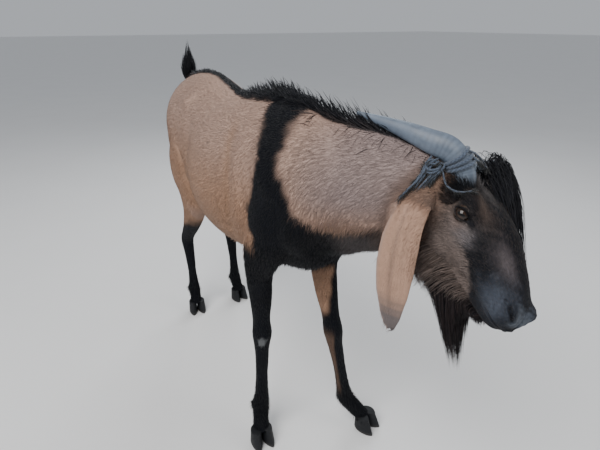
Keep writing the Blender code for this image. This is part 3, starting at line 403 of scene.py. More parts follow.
def ear(side, rows=16, steps=26):
    """A crescent section: across = width * c, and out = bulge * (1 - c^2) plus or minus half the
    thickness, less a groove near the middle, plus low veins and a rolled rim at the front."""
    path, share, _, out, edge = ear_frame(side, rows)
    wide, bulge = (np.interp(share, EAR_ROWS[:, 0], EAR_ROWS[:, i])[:, None] for i in (1, 2))
    c = np.cos(np.linspace(math.pi, 0, steps + 1))
    c = np.concatenate([c, c[-2:0:-1]])
    face = np.concatenate([np.full(steps + 1, 0.5), np.full(steps - 1, -0.5)])
    outer = (face > 0) * np.sin(math.pi * share)[:, None]
    groove = 0.0028 * np.exp(-(((c - 0.10) / 0.16) ** 2))
    veins = 0.0007 * np.sin(c * 17 + share[:, None] * 5) * (1 - c**2)
    rim = 0.0022 * np.exp(-(((np.abs(c) - 0.97) / 0.10) ** 2))
    ripple = 0.0020 * c**2 * np.sin(share[:, None] * 11 + c * 2)
    height = bulge * (1 - c**2) + EAR_THICKNESS * face * (0.35 + 0.65 * np.sqrt(1 - c**2)) + ripple
    height = height + outer * (veins - groove) + rim * np.sign(face) * 0.4
    grid = path[:, None] + edge[:, None] * (wide * c)[..., None] + out[:, None] * height[..., None]
    return new_piece("ear", *closed(grid))


def union(obj, other):
    step = obj.modifiers.new("Union", "BOOLEAN")
    step.operation, step.object, step.solver = "UNION", other, "MANIFOLD"
    applied(obj)
    bpy.data.objects.remove(other)


def out_turned(obj):
    """Turns every face outwards, as a union needs."""
    shell = bmesh.new()
    shell.from_mesh(obj.data)
    bmesh.ops.recalc_face_normals(shell, faces=shell.faces)
    shell.to_mesh(obj.data)
    shell.free()
    return obj


for side in SIDES:
    union(skin, out_turned(ear(side)))
ear_roots = [body_points(EAR_PATHS[side][1]) for side in SIDES]
smooth(skin, 8, nearness(coordinates(skin), ear_roots, (0.030, 0.030)))
print("skin with ears:", len(skin.data.polygons), "faces")

# %% [markdown]
# ## A finer net on the head
# The head gets most of the detail, so its faces are split in four twice, and those round the eyes,
# lips and nostrils a third time. The rest of the body stays coarse, because the coat covers it.

# %% Split the head's faces
EYE_RADIUS = 0.0145
EYES = {side: head_points((0.088, 0.022, side * 0.052)) for side in SIDES}


def split_faces(obj, inside):
    """Cuts in half each edge whose two ends are inside, which splits the faces there in four."""
    shell = bmesh.new()
    shell.from_mesh(obj.data)
    edges = [e for e in shell.edges if inside[e.verts[0].index] and inside[e.verts[1].index]]
    bmesh.ops.subdivide_edges(shell, edges=edges, cuts=1, use_grid_fill=True)
    shell.to_mesh(obj.data)
    shell.free()


def on_head(points, grow=0.0):
    """Whether each point lies on the head, in front of the ears' roots."""
    along, out, left = head_places(points).T
    ball = ((along - 0.115) / (0.165 + grow)) ** 2 + ((out + 0.02) / (0.125 + grow)) ** 2
    return ball + (left / (0.074 + grow)) ** 2 < 1


def by_feature(points):
    """Whether each point is close to an eye, the lips or a nostril."""
    along, out, left = head_places(points).T
    eye = np.minimum(*(np.linalg.norm(points - EYES[side], axis=1) for side in SIDES)) < 0.030
    lips = (along > 0.150) & (np.abs(out + 0.036) < 0.013)
    nose = (along > 0.212) & (out > -0.030)
    return eye | (lips & on_head(points)) | (nose & on_head(points))


for times in range(2):
    split_faces(skin, on_head(coordinates(skin)))
    smooth(skin, 3, on_head(coordinates(skin)) * 1.0)
split_faces(skin, by_feature(coordinates(skin)))
smooth(skin, 2, by_feature(coordinates(skin)) * 1.0)
print("skin with a fine head:", len(skin.data.polygons), "faces")

# %% [markdown]
# ## Sculpting with formulas
# A sculptor would now draw with a brush. Here each stroke is a line on the head and a rounded
# profile: a groove pushes the skin in near its line, and a ridge lifts it. The same two strokes
# make the mouth, the nostrils, the folds of the cheek and the tendons of the legs.

# %% Strokes
def distance_to(points, line, rows=12):
    """The distance of each point to the smooth curve through the places of a line."""
    curve = between(line, rows)
    nearest = np.full(len(points), 9.0)
    for place in curve:
        nearest = np.minimum(nearest, ((points - place) ** 2).sum(1))
    return np.sqrt(nearest)


def bell(distance, middle, width):
    """A rounded bump: e to the minus of ((distance - middle) / width) squared."""
    return np.exp(-(((distance - middle) / width) ** 2))


def mirrored(line, side, axis):
    factor = np.ones(3)
    factor[axis] = side
    return np.asarray(line, float) * factor


MOUTH = table("156 -36 36, 165 -37 34, 185 -36 31, 212 -35 29, 236 -34 22, 250 -33 0")
NOSTRIL = table("226 2 30, 234 3 29.5, 241 0 27.5, 247 -5 23, 250 -11 17")
# Folds and forms of the face: line, width, then how far it lifts the skin
FACE_STROKES = strokes("""
    118 12 52, 136 4 46, 160 -10 40 : 5 -1.4
    30 -12 60, 62 0 62, 100 -4 56, 130 -10 46 : 7 1.6
    60 -30 60, 90 -34 56, 118 -40 46, 128 -60 36 : 6 -1.2
    150 20 38, 180 14 34, 206 8 31 : 5 -1.2
    60 52 28, 90 56 26, 120 56 22 : 8 1
    213 -10 32, 222 -18 31, 236 -22 26 : 2.6 -1.2
    160 -50 28, 150 -44 34, 146 -34 38 : 3 -1.4""")


def face_lift(places):
    """How far the strokes lift the skin at each place on the head."""
    lift = np.zeros(len(places))
    middle = bell(places[:, 2], 0, 0.0020) * (places[:, 0] > 0.235)
    lift -= 0.0024 * middle * bell(places[:, 1], -0.016, 0.013)
    for side in SIDES:
        mouth = distance_to(places, mirrored(MOUTH, side, 2))
        lift += 0.0016 * bell(mouth, 0.0052, 0.0030) - 0.0034 * bell(mouth, 0, 0.0015)
        nostril = distance_to(places, mirrored(NOSTRIL, side, 2))
        lift += 0.0015 * bell(nostril, 0.0052, 0.0022) - 0.0080 * bell(nostril, 0, 0.0019)
        for line, width, height in FACE_STROKES:
            lift += height * bell(distance_to(places, mirrored(line, side, 2)), 0, width)
    return lift


points = coordinates(skin)
chosen = np.flatnonzero(on_head(points, 0.02))
points[chosen] += normals_of(skin)[chosen] * face_lift(head_places(points[chosen]))[:, None]
move(skin, points)
print("head points shaped:", len(chosen))

# %% [markdown]
# ## Lids
# The eye opens as an almond. Inside it the skin goes behind the ball; at its edge the skin lies on
# the ball as a rounded lid, and a few millimetres further out it joins the face again, with a
# crease above the upper lid. One distance, measured from the almond's edge, drives all of this.

# %% Lids over the eyeballs
ALMOND_LENGTH, ALMOND_UP, ALMOND_DOWN, ALMOND_POWER = 0.0158, 0.0063, 0.0056, 1.50
LID_THICK, LID_REACH = 0.0017, 0.0105


def eye_frame(side):
    """Directions out of the eye, forwards along the lids, and upwards across them."""
    out = unit(SIDE * side * 0.82 + NOSE * 0.48 + BROW * 0.26)
    along = unit(flat_on(out, flat_on(out, NOSE) + BROW * 0.12))
    over = np.cross(out, along)
    return out, along, over * np.sign(over @ BROW)


def step_up(x):
    """A smooth step from 0 to 1."""
    x = np.clip(x, 0, 1)
    return x * x * (3 - 2 * x)


def eye_places(points, side):
    """Arc lengths on the ball from its pole, along and across the lids, and the distance from its centre."""
    out, along, over = eye_frame(side)
    away = points - EYES[side]
    distance = np.linalg.norm(away, axis=1)
    a, u = away @ along, away @ over
    arc = EYE_RADIUS * np.arccos(np.clip((away @ out) / distance, -1, 1)) / np.maximum(np.hypot(a, u), 1e-9)
    return a * arc, u * arc, distance


def on_ball(side, a, u, radius):
    """The points at these arc lengths from the pole, at this distance from the ball's centre."""
    out, along, over = eye_frame(side)
    arc = np.maximum(np.hypot(a, u), 1e-9)
    way = (a / arc)[:, None] * along + (u / arc)[:, None] * over
    angle = (arc / EYE_RADIUS)[:, None]
    return EYES[side] + radius * (np.cos(angle) * out + np.sin(angle) * way)


def almond(a, u):
    """1 on the edge of the open eye, less inside it and more outside."""
    height = np.where(u > 0, ALMOND_UP, ALMOND_DOWN)
    return (np.abs(a / ALMOND_LENGTH) ** ALMOND_POWER + np.abs(u / height) ** ALMOND_POWER) ** (1 / ALMOND_POWER)


def lidded(points, side):
    """The points moved onto, round or behind the eyeball by their distance from the almond's edge."""
    a, u, distance = eye_places(points, side)
    edge = (almond(a, u) - 1) * 0.0085
    radius = EYE_RADIUS - 0.0040 + (0.0040 + LID_THICK) * step_up((edge + 0.0014) / 0.0014)
    radius = radius + 0.0010 * bell(edge, 0.0020, 0.0014) - 0.0012 * bell(edge, 0.0056, 0.0014) * (u > 0)
    joins = np.maximum(step_up((edge - 0.0035) / LID_REACH), step_up((distance - 0.0185) / 0.009))[:, None]
    ball = EYES[side] + (points - EYES[side]) * (radius / distance)[:, None]
    near = ((np.hypot(a, u) < EYE_RADIUS * 1.9) & (distance < 0.034))[:, None]
    return np.where(near, ball * (1 - joins) + points * joins, points)


points = coordinates(skin)
for side in SIDES:
    points = lidded(points, side)
move(skin, points)
print("lids shaped over balls of", EYE_RADIUS * 2000, "mm")

# %% [markdown]
# ## Forms of the body
# Under a short coat the eye still reads the hip, the hollow of the flank, the knees and the tendons
# behind the cannon bones. They are low, soft strokes again, only larger. Last, the whole skin sinks
# by the depth of the coat, so that the coat and not the skin reaches the true outline.

# %% Hollows, knees and tendons
BODY_STROKES = strokes("""
    -520 118 770, -490 130 730, -480 135 690 : 34 -6
    -530 85 806, -545 100 790 : 20 5
    -500 135 600, -525 120 550, -535 110 520 : 16 3
    -110 110 790, -60 118 740, -20 115 690 : 14 2.5
    -130 130 700, -120 128 640, -100 120 590 : 14 -2.5
    -212 105 765, -192 123 700, -182 132 630, -205 124 545 : 27 -5.5
    -158 120 730, -146 130 660, -150 130 590 : 20 2.5
    20 72 600, 60 50 650, 110 40 690 : 14 -2.5""")
COAT_DEPTH, FACE_DEPTH, ANKLE = 0.0030, 0.0010, 0.0405


def leg_centre(leg, height):
    """The (forward, left) of the leg's middle at these heights."""
    return [np.interp(height, leg[::-1, 2], leg[::-1, i]) for i in (0, 1)]


def leg_lift(places):
    """A groove on each side between the cannon bone and the sinew behind it, and a knee cap in front."""
    lift = np.zeros(len(places))
    for number, leg in enumerate((*FORELEGS, *HINDLEGS)):
        forward, left = leg_centre(leg, places[:, 2])
        ahead, beside = places[:, 0] - forward, places[:, 1] - left
        close = step_up((0.045 - np.hypot(ahead, beside)) / 0.010)
        shaft = step_up((places[:, 2] - 0.095) / 0.025) * step_up((0.265 - places[:, 2]) / 0.030)
        lift -= 0.0026 * close * shaft * bell(ahead, -0.0040, 0.0040) * (np.abs(beside) > 0.006)
        if number < len(FORELEGS):
            knee = bell(places[:, 2], 0.298, 0.024) * step_up((ahead - 0.006) / 0.012)
            lift += 0.0030 * close * knee * bell(beside, 0, 0.016)
        else:
            hock = bell(places[:, 2], 0.318, 0.020) * step_up((-ahead - 0.010) / 0.012)
            lift += 0.0050 * close * hock * bell(beside, 0, 0.010)
    return lift


def body_lift(places):
    """Strokes on both sides, and the legs."""
    lift = leg_lift(places)
    for line, width, height in BODY_STROKES:
        for side in SIDES:
            lift += height * bell(distance_to(places, mirrored(line, side, 1)), 0, width)
    return lift


def face_share(points):
    """1 on the face, where the coat is shortest, and 0 on the body."""
    along, out, left = head_places(points).T
    beside = np.hypot(left, out + 0.02)
    return step_up((along + 0.01) / 0.05) * step_up((0.13 - beside) / 0.03)


points = coordinates(skin)
normals = normals_of(skin)
face = face_share(points)
points += normals * (body_lift(body_places(points)) * (1 - face))[:, None]
short = np.maximum(face, step_up((0.46 - points[:, 2]) / 0.10))
points -= normals * (COAT_DEPTH + (FACE_DEPTH - COAT_DEPTH) * short)[:, None]
points[:, 2] = np.maximum(points[:, 2], ANKLE)
move(skin, points)
print("skin lies", COAT_DEPTH * 1000, "mm inside the coat's outline, and", FACE_DEPTH * 1000, "mm on face and legs")

# %% [markdown]
# ## Markings
# The coat is fawn with a black stripe along the back, a black band down the shoulder that widens over
# the chest, black lower legs and a black face with brown patches. One function of a point's place
# gives the colour, and both the skin and every tuft ask it, so that they always agree. A slow
# wobble moves the edges, as no marking on an animal has a ruled edge.

# %% Colours of the coat
def linear(code):
    """An sRGB hex colour as linear numbers: ((v + 0.055) / 1.055) ^ 2.4, or v / 12.92 when dark."""
    v = np.array([int(code[i : i + 2], 16) for i in (1, 3, 5)]) / 255
    return np.where(v > 0.04045, ((v + 0.055) / 1.055) ** 2.4, v / 12.92)


FAWN, PALE_FAWN, WARM_FAWN = linear("#a5836d"), linear("#b29a90"), linear("#8f6f57")
NECK_GREY, SMOKE = linear("#897f81"), linear("#5d5655")
BLACK, SOOT, GREY_BROWN = linear("#090b12"), linear("#1d1d22"), linear("#695b54")
FACE_BROWN, CHEEK, EAR_PINK = linear("#65564e"), linear("#6e625d"), linear("#ad8c79")
BEARD_BROWN = linear("#352c2b")
EAR_TIP, NOSE_GREY, CALLUS, MUZZLE = linear("#5a5759"), linear("#5b626c"), linear("#707274"), linear("#464c57")


def wobble(points, size, seed):
    """A slow wave field of about this wavelength: the sum of four sines along seeded directions."""
    random = np.random.default_rng(seed)
    total = np.zeros(len(points))
    for _ in range(4):
        way = unit(random.normal(size=3))
        total += np.sin(points @ way * 2 * math.pi / (size * random.uniform(0.7, 1.4)) + random.uniform(0, 6.28))
    return total / 4


def soft(distance, width):
    """0 to 1 across an edge of this width, with the distance counted from its middle."""
    return step_up(distance / width + 0.5)


def mix(base, colour, share):
    """The base colour or colours, with this share of another at each point."""
    return base * (1 - share[:, None]) + colour * share[:, None]


# Edges of the shoulder band by height, and of the black under the neck by the way forward
BAND_BACK = table("""
    400 -110, 470 -105, 500 -88, 535 -54, 585 -48, 602 -76, 622 -104, 671 -80, 715 -62, 745 -60,
    790 -96, 813 -122, 860 -160""")
BAND_FRONT = table("600 112, 621 98, 637 79, 654 58, 675 38, 701 19, 727 9, 753 -2, 794 -14, 860 -26")
NECK_UNDER = table("35 665, 70 634, 100 628, 130 638, 170 650, 250 660")
BACK_LINE = table("-840 10, -600 17, -450 21, -300 21, -120 25, -40 22, 30 15, 100 13, 200 13")


def middle_line(forward):
    """How far left the middle of the back and neck lies at each place forward."""
    return np.interp(forward, *NECK[:, :2].T) + 0.015 * bell(forward, -0.46, 0.13)


def body_colour(points):
    forward, left, up = body_places(points).T
    waver = 0.007 * wobble(points, 0.055, 5) + 0.005 * wobble(points, 0.016, 6)
    shade = 0.5 + 0.5 * wobble(points, 0.16, 7)
    colour = mix(FAWN, WARM_FAWN, 0.45 * shade * soft(0.72 - up, 0.25))
    colour = mix(colour, PALE_FAWN, 0.55 * soft(up - 0.68, 0.16))
    belly = soft(0.475 - up, 0.05) * (forward > -0.55) * (forward < -0.1)
    colour = mix(colour, PALE_FAWN, 0.35 * belly)
    colour = mix(colour, NECK_GREY, (0.55 + 0.25 * shade) * soft(forward - 0.05, 0.12) * soft(up - 0.66, 0.10))
    # Painted shade: a warm dark line down the fold between shoulder and barrel, where a body stroke presses the skin
    # in.
    painted_fold_shade = forward - np.interp(up, (0.53, 0.62, 0.69, 0.75), (-0.205, -0.178, -0.185, -0.207))
    colour = mix(colour, WARM_FAWN, 0.45 * bell(painted_fold_shade, -0.006, 0.016) * soft(up - 0.50, 0.05) * soft(0.78 - up, 0.05))
    beside = np.abs(left - middle_line(forward))
    stripe = soft(np.interp(forward, *BACK_LINE.T) + 0.6 * waver - beside, 0.012) * soft(up - 0.735, 0.03)
    stripe = stripe * (1 - soft(-forward - 0.770, 0.02) * soft(0.806 - up, 0.02))
    stripe = np.maximum(stripe, soft(-forward - 0.777, 0.008) * soft(up - 0.802, 0.008))
    back = forward - np.interp(up, *BAND_BACK.T) + waver
    front = np.interp(up, *BAND_FRONT.T) - forward + waver
    under = np.interp(forward, *NECK_UNDER.T) - up + waver
    fade = bell(up, 0.795, 0.030) * soft(-forward - 0.02, 0.06)
    band = soft(np.minimum(back, np.maximum(front, under)), 0.022 + 0.02 * fade)
    smoky = soft(forward - 0.085, 0.05) * soft(0.632 - up, 0.02) * soft(0.25 - forward, 0.05)
    band = band * (1 - soft(left - 0.025, 0.01) * soft(0.462 - up, 0.02))
    colour = mix(colour, BLACK, np.maximum(stripe, band))
    return mix(colour, SMOKE, 0.75 * band * smoky)


def leg_black(points):
    """How black each point of the legs is: all of it low down, and only the front higher up."""
    places = body_places(points)
    forward, left, up = places.T
    waver = 0.006 * wobble(points, 0.05, 8)
    dark = np.zeros(len(points))
    for leg in FORELEGS:
        middle, beside = leg_centre(leg, up)
        close = (np.hypot(forward - middle, left - beside) < 0.090) & (up < 0.56)
        ahead = forward - middle + waver
        front = soft(ahead + (0.034 if leg is FORELEG_RIGHT else 0.004) + 0.10 * np.maximum(0.40 - up, 0), 0.012)
        low = soft(0.345 - up + waver, 0.05)
        black = close * np.maximum(front, low) * soft(0.56 - up, 0.03)
        if leg is FORELEG_LEFT:
            inner = soft(0.038 + 0.25 * (up - 0.335) - left + waver, 0.012) * soft(up - 0.325, 0.02)
            edge = soft(beside - 0.0120 - left, 0.004) * soft(0.300 - up, 0.04) * soft(up - 0.12, 0.04)
            black = black * (1 - np.maximum(inner, 0.30 * edge))
        dark = np.maximum(dark, black)
    hind = (forward < -0.50) & (up < 0.56)
    ahead = forward - leg_centre(HINDLEG, up)[0] + waver
    low = soft(0.385 - up + 0.7 * np.clip(ahead, -0.02, 0.03) + waver, 0.055)
    return np.maximum(dark, hind * low)


# Patches on the face: place (along, out, left), reach, colour, strength
BRIDGE, FACE_PATCH_GREY, UNDER_EYE = linear("#625a5c"), linear("#7b7676"), linear("#716d70")
FACE_PATCHES = (
    ((0.030, 0.056, 0.004), (0.036, 0.022, 0.022), FACE_PATCH_GREY, 0.90),
    ((0.090, 0.046, 0.032), (0.036, 0.016, 0.010), FACE_BROWN, 0.60),
    ((0.180, 0.028, 0.022), (0.036, 0.015, 0.010), BRIDGE, 0.60),
    ((0.095, 0.010, 0.056), (0.024, 0.014, 0.020), CHEEK, 0.70),
    ((0.100, 0.006, 0.054), (0.012, 0.010, 0.016), PALE_FAWN, 0.30),
    ((0.052, 0.040, 0.048), (0.020, 0.016, 0.018), BLACK, 0.90),
    ((0.064, 0.034, 0.052), (0.020, 0.016, 0.012), BLACK, 0.90),
    ((0.118, 0.004, 0.052), (0.018, 0.014, 0.018), UNDER_EYE, 0.75),
    ((0.218, -0.016, 0.030), (0.028, 0.028, 0.022), MUZZLE, 0.90),
    ((0.215, -0.060, 0.020), (0.030, 0.018, 0.020), BLACK, 0.80),
)
# How far along the head the black begins, by the way out of the forehead
FACE_EDGE = table("-120 150, -85 170, -56 184, -30 166, -12 138, 0 120, 20 106, 34 60, 46 30, 60 10")


def head_colour(points):
    places = head_places(points)
    along, out, left = places.T
    waver = 0.008 * wobble(points, 0.030, 9) + 0.005 * wobble(points, 0.009, 10)
    ragged = 1 + 0.45 * wobble(points, 0.018, 15) + 0.35 * wobble(points, 0.006, 16)
    colour = mix(CHEEK, FAWN, 0.75 * soft(0.05 - along, 0.08))
    colour = mix(colour, GREY_BROWN, 0.55 * soft(-0.05 - out, 0.06))
    front = soft(along - np.interp(out, *FACE_EDGE.T) + waver, 0.022)
    colour = mix(colour, BLACK, front)
    crown = soft(out - 0.026, 0.02) * soft(along + 0.02, 0.02)
    colour = mix(colour, BLACK, crown * soft(0.040 - np.abs(left), 0.015))
    for place, reach, patch, strength in FACE_PATCHES:
        beside = np.abs(left) - abs(place[2])
        size = ((along - place[0]) / reach[0]) ** 2 + ((out - place[1]) / reach[1]) ** 2
        size = (size + (beside / reach[2]) ** 2) * ragged
        colour = mix(colour, patch, strength * np.exp(-size))
    streaks = 0.5 + 0.5 * wobble(points, 0.007, 13) + 0.35 * wobble(points, 0.0035, 14)
    colour = colour * (0.84 + 0.32 * np.clip(streaks, 0, 1))[:, None]
    pad = soft(along - 0.243 + waver, 0.016) * soft(out + 0.020, 0.012) * soft(0.018 - np.abs(left), 0.012)
    colour = mix(colour, NOSE_GREY, pad * (0.45 + 0.35 * np.clip(streaks, 0, 1)))
    for side in SIDES:
        # Painted shade: the groove of the mouth and the slits of the nostrils are darkened to black.
        colour = mix(colour, BLACK, 0.85 * bell(distance_to(places, mirrored(MOUTH, side, 2)), 0, 0.0022))
        colour = mix(colour, BLACK, 0.97 * bell(distance_to(places, mirrored(NOSTRIL, side, 2)), 0, 0.0032))
        a, u, distance = eye_places(points, side)
        colour = mix(colour, BLACK, 0.90 * (distance < 0.030) * soft(1.50 - almond(a, u), 0.5))
    return colour


def ear_part(points):
    """How surely each point is on an ear, its share of the way down, and how far across it lies."""
    best = np.full(len(points), 9.0)
    share, across = np.zeros(len(points)), np.zeros(len(points))
    for side in SIDES:
        path, along, _, out, edge = ear_frame(side, 6)
        for k in range(len(path)):
            away = points - path[k]
            gap = np.linalg.norm(away, axis=1)
            found = gap < best
            best = np.where(found, gap, best)
            share = np.where(found, along[k], share)
            across = np.where(found, away @ edge[k], across)
    wide = np.interp(share, EAR_ROWS[:, 0], EAR_ROWS[:, 1])
    return step_up((wide + 0.012 - best) / 0.008) * step_up((share - 0.10) / 0.06), share, across / wide


def ear_colour(points, share, across):
    streak = wobble(np.stack([share * 0.02, across * 0.04, share * 0], 1), 0.012, 12)
    colour = mix(EAR_PINK, FAWN, 0.25 + 0.25 * streak)
    # Painted shade: grey-brown down the groove of the ear's outer face.
    colour = mix(colour, GREY_BROWN, 0.45 * bell(across, 0.10, 0.10) * np.sin(math.pi * share))
    colour = mix(colour, GREY_BROWN, 0.30 * np.clip(streak, 0, 1))
    colour = mix(colour, EAR_TIP, 0.90 * soft(share - 0.81, 0.22))
    return mix(colour, PALE_FAWN, 0.5 * soft(across - 0.86, 0.10))


def coat_colour(points):
    """The colour of skin and hair at each point: body, then legs, head and ears over it."""
    colour = body_colour(points)
    colour = mix(colour, BLACK, leg_black(points))
    places = head_places(points)
    on_face = soft(places[:, 0] - 0.012 + 0.25 * places[:, 1], 0.05)
    on_face = on_face * (np.abs(places[:, 2]) < 0.12) * (places[:, 0] < 0.30) * (np.abs(places[:, 1]) < 0.2)
    colour = mix(colour, head_colour(points), on_face)
    on_ear, share, across = ear_part(points)
    colour = mix(colour, ear_colour(points, share, across), on_ear)
    forward, left, up = body_places(points).T
    size = ((forward + 0.077) / 0.012) ** 2 + ((left + 0.104) / 0.009) ** 2 + ((up - 0.286) / 0.012) ** 2
    callus = soft(1.1 - size * (1 + 0.5 * wobble(points, 0.006, 17)), 0.5)
    return mix(colour, CALLUS, 0.9 * callus)


def set_colours(obj, colours, name="coat"):
    attribute = obj.data.attributes.new(name, "FLOAT_COLOR", "POINT")
    full = np.ones((len(colours), 4), np.float32)
    full[:, :3] = np.clip(colours, 0, 1)
    attribute.data.foreach_set("color", full.ravel())


skin_points = coordinates(skin)
set_colours(skin, coat_colour(skin_points))
print("skin coloured at", len(skin_points), "points")

# %% [markdown]
# ## The lie of the coat
# Hair leans: from the nose up the face, back along the neck and barrel, down the shoulder, thigh and
# legs. A groomer knows these ways by heart. Here a few dozen known directions are set on the
# body, and each point of the skin takes their mean, weighted by nearness, laid flat on the skin.

# %% Directions of the hair
# Place (forward, left, up) in centimetres, then the way that the hair points there, in hundredths
BODY_LIE = table("""
    -70 5 84 -100 10 -10, -72 11 72 -70 0 -80, -80 3 68 -20 0 -100, -62 12 60 -50 0 -90,
    -45 5 84 -100 15 -10, -45 14 68 -85 0 -50, -30 15 62 -85 0 -55, -30 6 82 -100 15 -15,
    -50 12 54 -60 0 -80, -30 5 45 -90 -20 -10, -16 13 60 -70 0 -70, -6 12 70 -45 0 -90,
    -6 5 84 -100 20 -20, 4 9 66 -35 0 -95, 7 2 60 -10 0 -100, -8 10 54 -20 0 -100, -62 10 46 -40 0 -90,
    -71 8 30 0 0 -100, -72 8 16 0 0 -100, -9 9 40 0 0 -100, -6 10 25 0 0 -100, -5 10 10 10 0 -100,
    -79 0 86 -20 0 100, -77.5 0 80 -30 0 100""", 100)
NECK_LIE = table("""
    5 7 72 -75 -20 -65, 10 10 76 -80 -40 -50, 16 13 72 -80 -40 -50, 8 -2 74 -80 -45 -50,
    15 3 70 -80 -50 -50, 12 2 60 -50 -30 -80, 17 8 79 -85 -50 0, 12 6 81 -90 -40 10""", 100)
# Place (along, out, left) in millimetres, then the way in thousandths
HEAD_LIE = table("""
    240 0 20 -1000 350 300, 200 30 0 -1000 200 200, 150 50 0 -1000 100 300, 100 55 0 -1000 100 300,
    180 0 35 -1000 -150 100, 130 0 45 -1000 -350 100, 120 30 40 -1000 -100 300,
    80 -20 60 -900 -600 100, 50 -40 55 -800 -800 0, 100 -70 40 -600 -1000 0, 160 -60 25 -600 -900 0,
    220 -55 10 -700 -700 0, 40 40 20 -1000 200 200, 20 0 55 -1000 -300 100, 60 35 50 -1000 100 200""")


def both_sides(rows, mirror):
    """Rows of a place and a way, and their mirror images."""
    rows = rows.reshape(-1, 2, 3)
    return np.concatenate([rows, rows * mirror])


def lie_rows():
    """All known places and directions in the model's own frame, each with its reach."""
    body = np.concatenate([both_sides(BODY_LIE, (1, -1, 1)), NECK_LIE.reshape(-1, 2, 3)])
    places = [body_points(body[:, 0])]
    ways = [np.stack([body[:, 1, 1], -body[:, 1, 0], body[:, 1, 2]], 1)]
    reach = [np.full(len(body), 0.070)]
    head = both_sides(HEAD_LIE, (1, 1, -1))
    places.append(head_points(head[:, 0]))
    ways.append(head[:, 1] @ HEAD_AXES)
    reach.append(np.full(len(head), 0.028))
    for side in SIDES:
        path, _, down, _, _ = ear_frame(side, 2)
        places.append(path[2:])
        ways.append(down[2:])
        reach.append(np.full(len(path) - 2, 0.022))
    return np.vstack(places), unit(np.vstack(ways)), np.concatenate(reach)


def lie_of_coat(points, normals):
    """The mean of the known directions, weighted by e^(-distance^2 / (2 reach^2)), laid on the skin."""
    total = np.zeros_like(points)
    for place, way, reach in zip(*lie_rows()):
        away = ((points - place) ** 2).sum(1)
        weight = np.exp(-away / (2 * reach**2)) * (0.07 / reach) + 1e-7 / (away + 0.01)
        total += weight[:, None] * way
    return unit(flat_on(normals, total))


skin_normals = normals_of(skin)
skin_lie = lie_of_coat(skin_points, skin_normals)
print("lie of the coat set at", len(skin_lie), "points")

# %% [markdown]
# ## An unwrap of the skin's shape
# To bake colours, each tuft needs a small patch on a flat map of the skin. The body is unrolled from
# its bones: each bone has its own tile, in which one way is the share along the bone and the
# other the angle round it. It is a map of the animal's shape and not a view of it.

# %% Tiles for the bones
BONES = {
    "trunk": (body_points(table("-810 0 710, -600 0 660, -300 0 610, 20 0 640")), 0.16, (0.00, 0.00, 0.60, 0.62)),
    "neck": (body_points(table("30 10 690, 100 55 694, 200 130 694")), 0.10, (0.62, 0.00, 0.36, 0.30)),
    "head": (head_points(table("0 -20 0, 100 -20 0, 250 -20 0")), 0.06, (0.62, 0.32, 0.36, 0.30)),
    "foreleg_right": (body_points(FORELEG_RIGHT[1:, :3]), 0.04, (0.00, 0.65, 0.23, 0.34)),
    "foreleg_left": (body_points(FORELEG_LEFT[1:, :3]), 0.04, (0.25, 0.65, 0.23, 0.34)),
    "hindleg_right": (body_points(HINDLEG_RIGHT[2:, :3]), 0.05, (0.50, 0.65, 0.17, 0.34)),
    "hindleg_left": (body_points(HINDLEG[2:, :3]), 0.05, (0.68, 0.65, 0.17, 0.34)),
    "ear_right": (body_points(EAR_PATHS[RIGHT][2:]), 0.030, (0.86, 0.65, 0.06, 0.34)),
    "ear_left": (body_points(EAR_PATHS[LEFT][2:]), 0.030, (0.93, 0.65, 0.06, 0.34)),
}


def along_bone(points, bone):
    """The closest place on the bone's line: its share of the length, its distance, and the angle round it."""
    curve = between(bone, 6)
    gaps = np.stack([((points - place) ** 2).sum(1) for place in curve], 1)
    nearest = gaps.argmin(1)
    way = unit(np.gradient(curve, axis=0))[nearest]
    away = points - curve[nearest]
    share = nearest / (len(curve) - 1) + (away * way).sum(1) / walked_along(curve)[-1]
    up = unit(flat_on(way, -BACK if abs(way[:, 2]).mean() > 0.7 else UP))
    angle = np.arctan2((away * np.cross(way, up)).sum(1), (away * up).sum(1))
    return np.clip(share, 0, 1), np.sqrt(gaps.min(1)), angle


def unwrap(points):
    """Each point's place on the map, from the bone that is nearest for its thickness."""
    best, found = np.full(len(points), 1e9), np.zeros((len(points), 2))
    for bone, thickness, (x, y, width, height) in BONES.values():
        share, gap, angle = along_bone(points, bone)
        nearer = gap / thickness < best
        inside = 0.01 + 0.98 * np.stack([share, angle / 2 / math.pi + 0.5], 1)
        spot = np.array((x, y)) + inside * (width, height)
        best = np.where(nearer, gap / thickness, best)
        found = np.where(nearer[:, None], spot, found)
    return found


skin_map = unwrap(skin_points)
layer = skin.data.uv_layers.new(name="hair_way")
corner_point = read(skin.data.loops, "vertex_index", 1, np.int32)[:, 0]
layer.data.foreach_set("uv", skin_map[corner_point].astype(np.float32).ravel())
print("tiles on the map:", len(BONES))

# %% [markdown]
# ## Where the tufts grow
# Hair covers skin evenly, and never in rows. Many random places are drawn on the skin's triangles,
# with larger triangles drawn more often. Space is then divided into small cells, and one
# place is kept in each, which leaves an even but irregular cover.

# %% Scatter places over the skin
skin.data.calc_loop_triangles()
skin_triangles = read(skin.data.loop_triangles, "vertices", 3, np.int32)
a, b, c = (skin_points[skin_triangles[:, i]] for i in range(3))
skin_areas = 0.5 * np.linalg.norm(np.cross(b - a, c - a), axis=1)
skin_middles = skin_points[skin_triangles].mean(1)


def hollows():
    """How hollow the skin is at each point, in 1 / metres: twice the mean of (neighbour - point) . normal
    / distance^2 over its edges, then averaged with its neighbours eight times."""
    a, b = read(skin.data.edges, "vertices", 2, np.int32).T
    ends, others, count = np.concatenate([a, b]), np.concatenate([b, a]), len(skin_points)
    size = np.bincount(ends, minlength=count)
    step = skin_points[others] - skin_points[ends]
    bent = 2 * (step * skin_normals[ends]).sum(1) / np.maximum((step**2).sum(1), 1e-12)
    hollow = np.bincount(ends, bent, count) / size
    for _ in range(8):
        hollow = np.bincount(ends, hollow[others], count) / size
    return np.clip(hollow, 0, 60)


